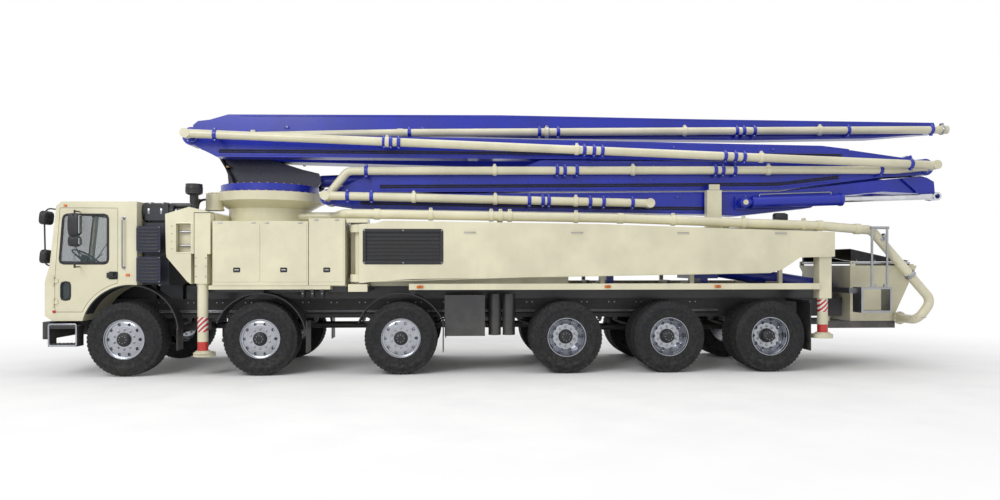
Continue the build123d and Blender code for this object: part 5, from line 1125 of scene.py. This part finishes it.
def build_outrigger_trim():
    """Grille frame, louvres and corner bolts of the long arms, hinge pin caps, lifting loops, jack caps and foot rims.
    """
    for name, side in SIDES.items():
        face = side * BOX_FACE
        low, high = (at(3.44), 1.65), (at(4.57), 2.125)
        parts = [(*hoop(oblong(low, high, 0.02), "Y", face + side * 0.002, 0.05, 0.008), 0)]
        for z in np.linspace(1.70, 2.09, 8):
            tilt = np.array([(low[0] + 0.03, z), (high[0] - 0.03, z), (high[0] - 0.03, z + 0.026),
                (low[0] + 0.03, z + 0.026)])
            parts.append((*plate(tilt, "Y", face - side * 0.012, face - side * 0.002, 0.003), 0))
        spots = [(x, face + side * 0.008, z) for x in (low[0], (low[0] + high[0]) / 2,
            high[0]) for z in (low[1], high[1])]
        parts.append((*copies(bolt((0, side, 0), 0.012, 0.009), spots), 1))
        pin = (at(3.335), side * 1.1, 0)
        for z in (2.21, 1.37):
            up = 1 if z > 2 else -1
            parts.append((*ring((pin[0], pin[1], z), (0, 0, up), 0.054, 0.10, 0.0, 0.012, 0.003, 40), 1))
        for x in (4.9, 6.5, 8.1, 9.6):
            parts.append((*tube(bent([(at(x), face, 2.10), (at(x), face + side * 0.03, 2.10),
                (at(x + 0.16), face + side * 0.03, 2.10), (at(x + 0.16), face, 2.10)], 0.012), 0.007, 8), 1))
        weld = [(*tube(bent([(at(3.5), face + side * 0.001, 1.372), (at(6.3), face + side * 0.001, 1.452),
            (at(9.5), face + side * 0.001, 1.51)], 0.05, 3), 0.005, 6), 2)]
        kinds = [finish_of("plastic"), finish_of("steel"), finish_of("cream")]
        piece(f"long_arm_trim_{name}", parts + weld, f"rear_outrigger_{name}", kinds)
        for prefix, node in (("front", f"front_leg_{name}"), ("rear", f"rear_leg_{name}")):
            low_c, high_c = (np.array(c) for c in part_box(node))
            x, y = (low_c[0] + high_c[0]) / 2, (low_c[1] + high_c[1]) / 2
            if prefix == "front":
                x = at(1.09 if side < 0 else 0.82)
                y = side * 1.083
                radius, z = 0.15, 0.335
            else:
                x, y, radius, z = at(10.4), side * 1.07, 0.155, 0.555
            profile = [(z - 0.002, 0.0), (z - 0.002, radius * 0.9), (z + 0.008, radius * 0.86),
                (z + 0.02, 0.11), (z + 0.035, 0.095), (z + 0.035, 0.0)]
            collar = [(*turned(profile, (x, side * (1.152 if prefix == "front" else 1.1), 0), (0, 0, 1), 48), 0)]
            spots = on_circle((x, side * (1.152 if prefix == "front" else 1.1), z + 0.02), (0, 0, 1), 0.105, 8)
            collar.append((*copies(bolt((0, 0, 1), 0.009, 0.008), spots), 1))
            piece(f"{prefix}_foot_collar_{name}", collar, node, [finish_of("cream"), finish_of("steel")])
        station = 1.09 if side < 0 else 0.82
        sleeve = [(*ring((at(station), side * 1.152, 1.352), (0, 0, -1), 0.078, 0.092, -0.02, 0.012, 0.003, 40), 0)]
        for z in (1.45, 1.6, 1.72):
            sleeve.append((*copies(bolt((0, side, 0), 0.010, 0.008),
                [(at(station - 0.07), face, z), (at(station + 0.07), face, z)]), 1))
        piece(f"front_sleeve_trim_{name}", sleeve, f"front_outrigger_{name}",
            [finish_of("cream"), finish_of("steel")])


# ---------------------------------------------------------------- boom
def clamp(centre, axis, radius, width=0.055):
    """A two-part pipe clamp: a round band, its bolted ears, and a bracket back to the arm."""
    band = ring(centre, axis, radius - 0.004, radius + 0.013, -width / 2, width / 2, 0.004, 36)
    parts = [(*band, 0)]
    for up in (1, -1):
        ear = np.array(centre) + np.array([0, 0, up * (radius + 0.018)])
        low, high = ear - np.array([width * 0.42, 0.02, 0.018]), ear + np.array([width * 0.42, 0.02, 0.018])
        parts.append((*rounded_block(low, high, 0.006), 0))
        parts.append((*copies(bolt((0, -1, 0), 0.009, 0.008), [(ear[0], ear[1] - 0.02, ear[2])]), 1))
    return parts


PIPES = {
    "boom_arm_b": (-0.86, (2.805, 2.668), (7.772, 2.575), (3.14, 3.50, 5.90, 6.11, 6.20, 6.84, 7.05, 7.50)),
    "boom_arm_c": (-0.70, (3.115, 3.062), (11.80, 3.14), (3.40, 6.35, 6.47, 6.66, 8.86, 8.98, 9.17, 11.55)),
    "boom_arm_d": (-0.86, (0.74, 3.59), (12.35, 3.20), (1.17, 3.69, 3.79, 3.91, 6.75, 6.90, 7.03, 8.96, 9.12,
        9.26, 11.95)),
    "boom_arm_e": (-0.075, (3.87, 3.765), (13.08, 3.91), (4.02, 6.14, 6.27, 6.45, 9.44, 9.56, 9.74, 11.35, 12.80)),
    "boom_arm_a": (0.565, (1.05, 3.45), (12.27, 2.91), (2.2, 3.4, 4.6, 5.8, 7.0, 8.2, 9.4, 10.5, 11.5)),
}


def build_boom_trim():
    """Pipe clamps and couplings, pin caps with keeper bolts, weld seams, edge strips and hoses along the arms."""
    radius = bpy.context.scene.pump_sizes.pipe
    for arm, (y, start, end, stations) in PIPES.items():
        slope = (end[1] - start[1]) / (end[0] - start[0])
        axis = (1.0, 0.0, slope)
        blue, rest = [], []
        for station in stations:
            place = (at(station), y, start[1] + (station - start[0]) * slope)
            blue += clamp(place, axis, radius)
        for k in range(1, 4):
            station = start[0] + (end[0] - start[0]) * k / 4 + 0.09
            place = (at(station), y, start[1] + (station - start[0]) * slope)
            rest.append((*ring(place, axis, radius - 0.004, radius + 0.016, -0.032, 0.032, 0.006, 36), 2))
            rest.append((*rounded_block(np.array(place) + (-0.02, -0.02, radius + 0.008),
                np.array(place) + (0.02, 0.02, radius + 0.04), 0.006), 2))
        piece(f"{arm}_clamps", blue + rest, arm, [finish_of("blue"), finish_of("steel"), finish_of("cream")])
    near = -0.62
    pins = {
        "boom_arm_c": [((2.805, 2.668), 0.1)],
        "boom_arm_d": [((12.35, 3.20), 0.105), ((0.74, 3.59), 0.11)],
        "boom_arm_a": [((12.27, 2.91), 0.11)],
    }
    for arm, places in pins.items():
        parts = []
        for (station, z), size in places:
            face = near - 0.012 if arm != "boom_arm_a" else near - 0.022
            parts.append((*drum((at(station), face, z), (0, -1, 0), size, -0.002, 0.012, 0.004, 44), 0))
            parts.append((*ring((at(station), face - 0.012, z), (0, -1, 0), size * 0.35, size * 0.55, 0.0,
                0.004, 0.001, 36), 0))
            spots = on_circle((at(station), face - 0.012, z), (0, -1, 0), size * 0.78, 8, 0.2)
            parts.append((*copies(bolt((0, -1, 0), 0.010, 0.008), spots), 1))
        piece(f"{arm}_pins", parts, arm, [finish_of("blue"), finish_of("steel")])
    lines = {
        "boom_arm_b": ([(3.3, 2.52), (7.7, 2.46), (8.8, 2.455)], [(3.3, 2.69), (7.7, 2.74), (9.9, 2.77)]),
        "boom_arm_c": ([(3.6, 2.775), (7.7, 2.82), (9.9, 2.85), (10.9, 2.965)],
            [(3.6, 3.078), (5.7, 3.09), (6.1, 3.235), (10.9, 3.235)]),
        "boom_arm_d": ([(1.15, 3.305), (10.95, 3.315)], [(0.95, 3.68), (1.6, 3.615), (10.6, 3.505)]),
    }
    for arm, rows in lines.items():
        parts = []
        for row in rows:
            path = bent([(at(s), near - 0.001, z) for s, z in row], 0.05,
                4) if len(row) > 2 else [(at(s), near - 0.001, z) for s, z in row]
            parts.append((*tube(path, 0.0045, 6), 0))
        for k in range(6):
            share = (k + 0.5) / 6
            row = np.array(rows[1])
            station = row[0, 0] + (row[-1, 0] - row[0, 0]) * share
            z = np.interp(station, row[:, 0], row[:, 1]) - 0.05
            low = np.array([at(station), near - 0.012, z - 0.02])
            parts.append((*rounded_block(low, low + np.array([0.06, 0.014, 0.04]), 0.005), 0))
            parts.append((*copies(bolt((0, -1, 0), 0.008, 0.006), [(at(station) + 0.03, near - 0.012, z)]), 1))
        for k in range(2):
            row = np.array(rows[0])
            z = row[:, 1] + 0.045 + 0.03 * k
            path = np.stack([FRONT_AXLE + row[:, 0], np.full(len(row), near - 0.012), z], axis=-1)
            path = bent(path, 0.1, 6) if len(path) > 2 else path
            parts.append((*tube(path, 0.010, 10), 2))
        piece(f"{arm}_seams", parts, arm, [finish_of("blue"), finish_of("steel"), finish_of("rubber")])
    far = []
    for station in (2.0, 4.2, 6.4, 8.6, 10.8, 12.6):
        low = np.array([at(station), -0.008, 3.83])
        far.append((*rounded_block(low, low + np.array([0.08, 0.012, 0.05]), 0.006), 0))
        far.append((*copies(bolt((0, -1, 0), 0.009, 0.007), [(at(station) + 0.04, -0.008, 3.855)]), 1))
    seam = bent([(at(1.3), -0.002, 3.76), (at(6.5), -0.002, 3.73), (at(9.7), -0.002, 3.735),
        (at(12.7), -0.002, 3.84)], 0.1, 4)
    far.append((*tube(seam, 0.005, 6), 0))
    seam = bent([(at(1.3), -0.002, 4.03), (at(5.5), -0.002, 4.064), (at(12.7), -0.002, 4.02)], 0.1, 4)
    far.append((*tube(seam, 0.005, 6), 0))
    tip = (at(13.005), -0.075, 3.91 - 0.075 * 0.0157)
    far.append((*ring(tip, (1, 0, 0.0157), 0.068, 0.086, -0.04, 0.0, 0.006, 40), 1))
    far.append((*rounded_block(np.array(tip) + (-0.045, -0.03, 0.078), np.array(tip) + (0.005, 0.03, 0.112),
        0.008), 1))
    piece("tip_arm_trim", far, "boom_arm_e", [finish_of("blue"), finish_of("steel")])
    for letter, y, start, share in (("b", -0.765, (9.3, 2.6), 0.092), ("c", -0.15, (6.2, 2.64), 0.078),
            ("e", 0.525, (3.6, 3.86), 0.07)):
        low, high = (np.array(c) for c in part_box(f"cylinder_{letter}_barrel"))
        toward = 1 if letter == "b" else -1
        slopes = {"b": 0.036, "c": -0.061, "e": 0.0235}
        axis = np.array([toward, 0, slopes[letter] * toward if letter != "c" else 0.061])
        end_x = high[0] if toward > 0 else low[0]
        base = np.array([at(start[0]), y, start[1]])
        direction = unit(axis)
        length = abs(end_x - base[0]) / abs(direction[0])
        tip_place = base + direction * (length - 0.06)
        parts = [(*ring(tip_place, direction, share - 0.004, share + 0.012, 0.0, 0.055, 0.006, 44), 0)]
        parts.append((*copies(bolt(direction, 0.010, 0.008),
            on_circle(tip_place + direction * 0.055, direction, share * 0.9, 8)), 1))
        feed = [base + direction * 0.25 + (0, 0, share), base + direction * 0.25 + (0, 0, share + 0.03),
            tip_place - direction * 0.12 + (0, 0, share + 0.03), tip_place - direction * 0.12 + (0, 0, share)]
        parts.append((*tube(bent(feed, 0.02), 0.009, 10), 1))
        piece(f"cylinder_{letter}_gland", parts, f"cylinder_{letter}_barrel",
            [finish_of("blue"), finish_of("steel")])


# ---------------------------------------------------------------- deck pipe and rear
def build_deck_trim():
    """Clamps and couplings of the delivery pipe on the deck, a ring of bolts at its lower end, and the lamp under the
    boom.
    """
    line = np.array([(3.6, 2.379), (7.28, 2.33), (10.4, 2.226), (11.0, 2.178)])
    cream, steel = [], []
    for station in (4.4, 5.31, 5.45, 5.59, 6.6, 8.1, 9.2, 10.15):
        z = np.interp(station, line[:, 0], line[:, 1])
        ahead = np.interp(station + 0.05, line[:, 0], line[:, 1])
        band = ring((at(station), -1.0, z), (0.05, 0, ahead - z), 0.066, 0.084, -0.035, 0.035, 0.005, 40)
        cream.append((*band, 0))
        low = np.array([at(station) - 0.025, -1.025, z + 0.078])
        cream.append((*rounded_block(low, low + (0.05, 0.05, 0.032), 0.006), 0))
        steel.append((*copies(bolt((0, -1, 0), 0.009, 0.008), [(at(station), -1.025, z + 0.095)]), 1))
    for station, z in ((11.386, 2.035), (11.85, 1.466)):
        axis = (0.6586, 0, -0.7525)
        steel.append((*ring((at(station), -1.0, z), axis, 0.068, 0.088, -0.03, 0.03, 0.006, 40), 1))
    for place in on_circle((at(11.98), -1.0, 0.80), (0, 0, 1), 0.105, 8):
        steel.append((*copies(bolt((0, 0, 1), 0.010, 0.008), [place]), 1))
    piece("deck_pipe_clamps", cream + steel, "chassis", [finish_of("cream"), finish_of("steel")])
    lamp = [(*rounded_block(np.array([at(9.80), -0.87, 2.2]), np.array([at(9.84), -0.83, 2.32]), 0.006), 0)]
    lamp.append((*rounded_block(np.array([at(9.74), -0.93, 2.31]), np.array([at(9.94), -0.79, 2.42]), 0.02), 0))
    lamp.append((*rounded_block(np.array([at(9.935), -0.915, 2.325]), np.array([at(9.947), -0.805, 2.405]),
        0.005), 1))
    for k in range(5):
        lamp.append((*rounded_block(np.array([at(9.76 + k * 0.032), -0.925, 2.415]),
            np.array([at(9.768 + k * 0.032), -0.795, 2.43]), 0.002, 1), 0))
    piece("deck_lamp", lamp, "chassis", [finish_of("plastic"), finish_of("clear")])


def sheet_outline(points, thickness):
    """Closed outline of a bent sheet: its line, then the same line lowered by the thickness."""
    top = bent(np.array(points), 0.03, 5)
    return np.vstack([top, (top - np.array([0.0, thickness]))[::-1]])


def build_rear_trim():
    """Splash hood over the grate with its cheeks and ribs, rear lamps, agitator bearings and mesh clips."""
    line = [(at(11.002), 1.70), (at(11.002), 1.875), (at(11.73), 1.715), (at(11.955), 1.69)]
    parts = [(*plate(sheet_outline(line[1:], 0.008), "Y", -0.80, 0.80, 0.002), 0)]
    for side in (-1, 1):
        cheek = bent(np.array([(at(11.01), 1.672), (at(11.01), 1.866), (at(11.73), 1.704), (at(11.93), 1.682),
            (at(11.93), 1.672)]), 0.01, 3, closed=True)
        parts.append((*plate(cheek, "Y", side * 0.80 - 0.004, side * 0.80 + 0.004, 0.0015), 0))
        for x in (11.1, 11.4, 11.7):
            parts.append((*copies(bolt((0, side, 0), 0.011, 0.008), [(at(x), side * 0.804, 1.69)]), 1))
    for y in (-0.5, 0.0, 0.5):
        rib = [(at(11.06), y, 1.866), (at(11.70), y, 1.7245)]
        parts.append((*tube(rib, 0.008, 8), 0))
    piece("hopper_hood", parts, "hopper_grate", [finish_of("rubber"), finish_of("steel")])
    lamps = []
    for side in (-1, 1):
        plate_face = at(11.445)
        backing = oblong((side * 1.075 - 0.085, 0.935), (side * 1.075 + 0.085, 1.245), 0.03)
        lamps.append((*plate(backing, "X", plate_face - 0.002, plate_face + 0.012, 0.004), 0))
        for z, kind in ((1.19, 1), (1.09, 2), (0.99, 3)):
            centre = (plate_face + 0.012, side * 1.075, z)
            dome = [(0.0, 0.0), (0.0, 0.042), (0.010, 0.040), (0.018, 0.031), (0.022, 0.016), (0.023, 0.0)]
            lamps.append((*turned(dome, centre, (1, 0, 0), 36), kind))
            lamps.append((*ring(centre, (1, 0, 0), 0.041, 0.047, -0.004, 0.010, 0.002, 36), 0))
    kinds = [finish_of("plastic"), finish_of("red"), finish_of("orange"), finish_of("clear")]
    piece("rear_lamps", lamps, "chassis", kinds)
    bearings = []
    for side in (-1, 1):
        face = side * 0.52
        centre = (at(11.98), face, 0.76)
        bearings.append((*ring(centre, (0, side, 0), 0.05, 0.105, -0.012, 0.012, 0.004, 40), 0))
        bearings.append((*copies(bolt((0, side, 0), 0.010, 0.008),
            on_circle((at(11.98), face + side * 0.012, 0.76), (0, side, 0), 0.09, 8)), 1))
        for x in (11.19, 11.37):
            bearings.append((*ring((at(x), side * 1.14, 1.30), (0, 0, 1), 0.017, 0.026, -0.025, 0.025, 0.003,
                28), 1))
    piece("outlet_flanges", bearings, "chassis", [finish_of("cream"), finish_of("steel")])


# ---------------------------------------------------------------- chassis
def build_chassis_trim():
    """Rail bolts, and the brake pipes and wiring loom clipped along both frame rails."""
    parts = []
    for side in (-1, 1):
        for z, thick, kind in ((0.86, 0.008, 1), (0.885, 0.006, 0), (0.905, 0.006, 0)):
            path = [(at(-0.78), side * (0.43 + thick * 0.9), z), (at(9.0), side * (0.43 + thick * 0.9), z)]
            parts.append((*tube(path, thick, 8), kind))
        for k in range(22):
            x = at(-0.7 + k * 0.44)
            parts.append((*copies(bolt((0, side, 0), 0.011, 0.009),
                [(x, side * 0.43, 1.03), (x + 0.09, side * 0.43, 1.03)]), 0))
    piece("frame_pipes", parts, "chassis", [finish_of("steel"), finish_of("rubber")])


# ---------------------------------------------------------------- stage
def build_stage():
    """Pale floor, soft lamps, an even white surround and the camera.

    The floor blends to plain white with distance r from the middle as smoothstep((r - near) / (far - near))."""
    stage = bpy.context.scene.pump_stage
    span = 90.0
    mesh = bpy.data.meshes.new("floor")
    mesh.from_pydata([(-span, -span, -0.001), (span, -span, -0.001), (span, span, -0.001),
        (-span, span, -0.001)], [], [(0, 1, 2, 3)])
    floor = bpy.data.objects.new("floor", mesh)
    bpy.context.scene.collection.objects.link(floor)
    r = Recipe("floor_paper")
    tone = r.blend(r.span(r.noise(1.2, 5.0), 0.3, 0.7), shade(236, 236, 237), shade(242, 242, 242))
    r.bump(r.noise(90.0, 3.0), 0.02, 0.001)
    r.finish(tone, r.span(r.noise(14.0), 0.3, 0.7, 0.78, 0.9))
    far_x = r.maths("MULTIPLY", r.x, 0.7)
    distance = r.maths("SQRT", r.maths("ADD", r.maths("MULTIPLY", far_x, far_x), r.maths("MULTIPLY", r.y, r.y)))
    fade = r.span(distance, 3.2, 9.0)
    tree = r.tree
    rays = tree.nodes.new("ShaderNodeLightPath")
    seen = r.maths("MAXIMUM", r.maths("MAXIMUM", rays.outputs["Is Camera Ray"],
        rays.outputs["Is Glossy Ray"]), rays.outputs["Is Transmission Ray"])
    white = tree.nodes.new("ShaderNodeEmission")
    white.inputs["Color"].default_value = (1.0, 1.0, 1.0, 1.0)
    white.inputs["Strength"].default_value = 1.0
    mix = tree.nodes.new("ShaderNodeMixShader")
    tree.links.new(r.maths("MULTIPLY", fade, seen), mix.inputs[0])
    tree.links.new(r.shader.outputs[0], mix.inputs[1])
    tree.links.new(white.outputs[0], mix.inputs[2])
    tree.links.new(mix.outputs[0], tree.nodes["Material Output"].inputs["Surface"])
    mesh.materials.append(r.material)

    world = bpy.data.worlds.new("surround")
    bpy.context.scene.world = world
    world.use_nodes = True
    nodes, links = world.node_tree.nodes, world.node_tree.links
    light = nodes["Background"]
    light.inputs["Color"].default_value = (1.0, 1.0, 1.0, 1.0)
    light.inputs["Strength"].default_value = stage.surround
    plain = nodes.new("ShaderNodeBackground")
    plain.inputs["Strength"].default_value = 1.0
    plain.inputs["Color"].default_value = (1.0, 1.0, 1.0, 1.0)
    rays = nodes.new("ShaderNodeLightPath")
    highest = nodes.new("ShaderNodeMath")
    highest.operation = "MAXIMUM"
    links.new(rays.outputs["Is Camera Ray"], highest.inputs[0])
    links.new(rays.outputs["Is Glossy Ray"], highest.inputs[1])
    top = nodes.new("ShaderNodeMath")
    top.operation = "MAXIMUM"
    links.new(highest.outputs[0], top.inputs[0])
    links.new(rays.outputs["Is Transmission Ray"], top.inputs[1])
    mix = nodes.new("ShaderNodeMixShader")
    links.new(top.outputs[0], mix.inputs[0])
    links.new(light.outputs[0], mix.inputs[1])
    links.new(plain.outputs[0], mix.inputs[2])
    links.new(mix.outputs[0], nodes["World Output"].inputs["Surface"])

    for name, place, size, power in (
        ("key", (-9.0, -14.0, 11.0), 8.0, stage.key),
        ("overhead", (2.0, 0.0, 14.0), 12.0, stage.overhead),
    ):
        lamp = bpy.data.lights.new(name, "AREA")
        lamp.size = size
        lamp.energy = power
        made = bpy.data.objects.new(name, lamp)
        made.location = place
        aim = Vector((0.0, 0.0, 1.2)) - Vector(place)
        made.rotation_euler = aim.to_track_quat("-Z", "Y").to_euler()
        bpy.context.scene.collection.objects.link(made)

    lens_data = bpy.data.cameras.new("camera")
    lens_data.sensor_width = 36.0
    lens_data.lens = 26.64
    lens_data.shift_y = 0.0157
    camera = bpy.data.objects.new("camera", lens_data)
    camera.location = (-1.122, -12.18, 1.607)
    camera.rotation_euler = (math.pi / 2, 0.0, -0.055)
    bpy.context.scene.collection.objects.link(camera)
    bpy.context.scene.camera = camera
    bpy.context.scene.view_settings.view_transform = "Standard"


# ---------------------------------------------------------------- settings
class PumpColours(bpy.types.PropertyGroup):
    """Paint colours."""

    cream: bpy.props.FloatVectorProperty(
        name="Body", description="Paint of the cab, cabinets and outriggers", subtype="COLOR", size=3, min=0,
        max=1, default=shade(217, 212, 184)[:3]
    )
    blue: bpy.props.FloatVectorProperty(
        name="Boom", description="Paint of the boom arms and links", subtype="COLOR", size=3, min=0, max=1,
        default=shade(12, 36, 166)[:3]
    )
    navy: bpy.props.FloatVectorProperty(
        name="Turret", description="Paint of the turret neck", subtype="COLOR", size=3, min=0, max=1,
        default=shade(16, 20, 52)[:3]
    )


class PumpSizes(bpy.types.PropertyGroup):
    """Sizes of the trim."""

    gasket: bpy.props.FloatProperty(
        name="Glass gasket", description="Width of the rubber around each pane", subtype="DISTANCE",
        unit="LENGTH", min=0.01, max=0.08, default=0.035
    )
    pipe: bpy.props.FloatProperty(
        name="Boom pipe radius", description="Radius that the boom pipe clamps grip", subtype="DISTANCE",
        unit="LENGTH", min=0.03, max=0.12, default=0.064
    )


class PumpStage(bpy.types.PropertyGroup):
    """Light levels."""

    surround: bpy.props.FloatProperty(name="Surround", description="Strength of the even light from all around", min=0, max=2, default=0.62)
    key: bpy.props.FloatProperty(name="Key lamp", description="Power of the large lamp in front",
        subtype="POWER", unit="POWER", min=0, default=1300.0)
    overhead: bpy.props.FloatProperty(name="Overhead lamp", description="Power of the large lamp above",
        subtype="POWER", unit="POWER", min=0, default=700.0)


# ---------------------------------------------------------------- operators
class Step:
    """What all steps share: each runs its builders in turn."""

    builders = ()

    def execute(self, context):
        for build in self.builders:
            build()
        return {"FINISHED"}


class PUMP_OT_stage(Step, bpy.types.Operator):
    """Set up the floor, lamps, surround and camera"""

    bl_idname = "pump.stage"
    bl_label = "Stage"
    builders = (build_stage,)


class PUMP_OT_finishes(Step, bpy.types.Operator):
    """Give every part of the frame its finish"""

    bl_idname = "pump.finishes"
    bl_label = "Frame finishes"
    builders = (dress_frame,)


class PUMP_OT_wheels(Step, bpy.types.Operator):
    """Make the tyres, rims, hubs and nuts of all axles"""

    bl_idname = "pump.wheels"
    bl_label = "Wheels"
    builders = (build_wheels,)


class PUMP_OT_cab_inside(Step, bpy.types.Operator):
    """Make the seats, dashboard and steering wheel"""

    bl_idname = "pump.cab_inside"
    bl_label = "Cab inside"
    builders = (build_cab_inside,)


class PUMP_OT_cab_trim(Step, bpy.types.Operator):
    """Make the lamps, wipers, mirrors, gaskets and handles of the cab"""

    bl_idname = "pump.cab_trim"
    bl_label = "Cab trim"
    builders = (build_cab_trim, build_behind_cab)


class PUMP_OT_pedestal_trim(Step, bpy.types.Operator):
    """Make the bolts and covers of the pedestal and slewing ring"""

    bl_idname = "pump.pedestal_trim"
    bl_label = "Pedestal trim"
    builders = (build_pedestal_trim,)


class PUMP_OT_cabinets(Step, bpy.types.Operator):
    """Make the cabinet doors, latches, hinges and marker lamps"""

    bl_idname = "pump.cabinets"
    bl_label = "Cabinets"
    builders = (build_cabinet_trim,)


class PUMP_OT_outriggers(Step, bpy.types.Operator):
    """Make the grilles, bolts, collars and foot rims of the outriggers"""

    bl_idname = "pump.outriggers"
    bl_label = "Outriggers"
    builders = (build_outrigger_trim,)


class PUMP_OT_boom(Step, bpy.types.Operator):
    """Make the pipe clamps, pin caps, seams and glands of the boom"""

    bl_idname = "pump.boom"
    bl_label = "Boom"
    builders = (build_boom_trim,)


class PUMP_OT_deck_pipe(Step, bpy.types.Operator):
    """Make the clamps and couplings of the deck pipe and the deck lamp"""

    bl_idname = "pump.deck_pipe"
    bl_label = "Deck pipe"
    builders = (build_deck_trim,)


class PUMP_OT_rear(Step, bpy.types.Operator):
    """Make the hopper hood, rear lamps and outlet flanges"""

    bl_idname = "pump.rear"
    bl_label = "Rear"
    builders = (build_rear_trim,)


class PUMP_OT_chassis(Step, bpy.types.Operator):
    """Make the bolts and pipes along the frame rails"""

    bl_idname = "pump.chassis"
    bl_label = "Chassis"
    builders = (build_chassis_trim,)


STEPS = (
    PUMP_OT_finishes,
    PUMP_OT_wheels,
    PUMP_OT_cab_inside,
    PUMP_OT_cab_trim,
    PUMP_OT_pedestal_trim,
    PUMP_OT_cabinets,
    PUMP_OT_outriggers,
    PUMP_OT_boom,
    PUMP_OT_deck_pipe,
    PUMP_OT_rear,
    PUMP_OT_chassis,
    PUMP_OT_stage,
)


class PUMP_PT_panel(bpy.types.Panel):
    """Settings and steps of the pump truck"""

    bl_idname = "PUMP_PT_panel"
    bl_label = "Pump truck"
    bl_space_type = "VIEW_3D"
    bl_region_type = "UI"
    bl_category = "Pump truck"

    def draw(self, context):
        layout = self.layout
        for group in (context.scene.pump_colours, context.scene.pump_sizes, context.scene.pump_stage):
            for key in group.bl_rna.properties.keys():
                if key not in ("rna_type", "name"):
                    layout.prop(group, key)
        for step in STEPS:
            layout.operator(step.bl_idname)


GROUPS = (("pump_colours", PumpColours), ("pump_sizes", PumpSizes), ("pump_stage", PumpStage))


def register():
    for key, group in GROUPS:
        bpy.utils.register_class(group)
        setattr(bpy.types.Scene, key, bpy.props.PointerProperty(type=group))
    for step in STEPS:
        bpy.utils.register_class(step)
    bpy.utils.register_class(PUMP_PT_panel)


def unregister():
    bpy.utils.unregister_class(PUMP_PT_panel)
    for step in reversed(STEPS):
        bpy.utils.unregister_class(step)
    for key, group in reversed(GROUPS):
        delattr(bpy.types.Scene, key)
        bpy.utils.unregister_class(group)


def main():
    register()
    bpy.ops.pump.finishes()
    bpy.ops.pump.wheels()
    bpy.ops.pump.cab_inside()
    bpy.ops.pump.cab_trim()
    bpy.ops.pump.pedestal_trim()
    bpy.ops.pump.cabinets()
    bpy.ops.pump.outriggers()
    bpy.ops.pump.boom()
    bpy.ops.pump.deck_pipe()
    bpy.ops.pump.rear()
    bpy.ops.pump.chassis()
    bpy.ops.pump.stage()
    bpy.context.view_layer.update()


if __name__ == "__main__":
    main()
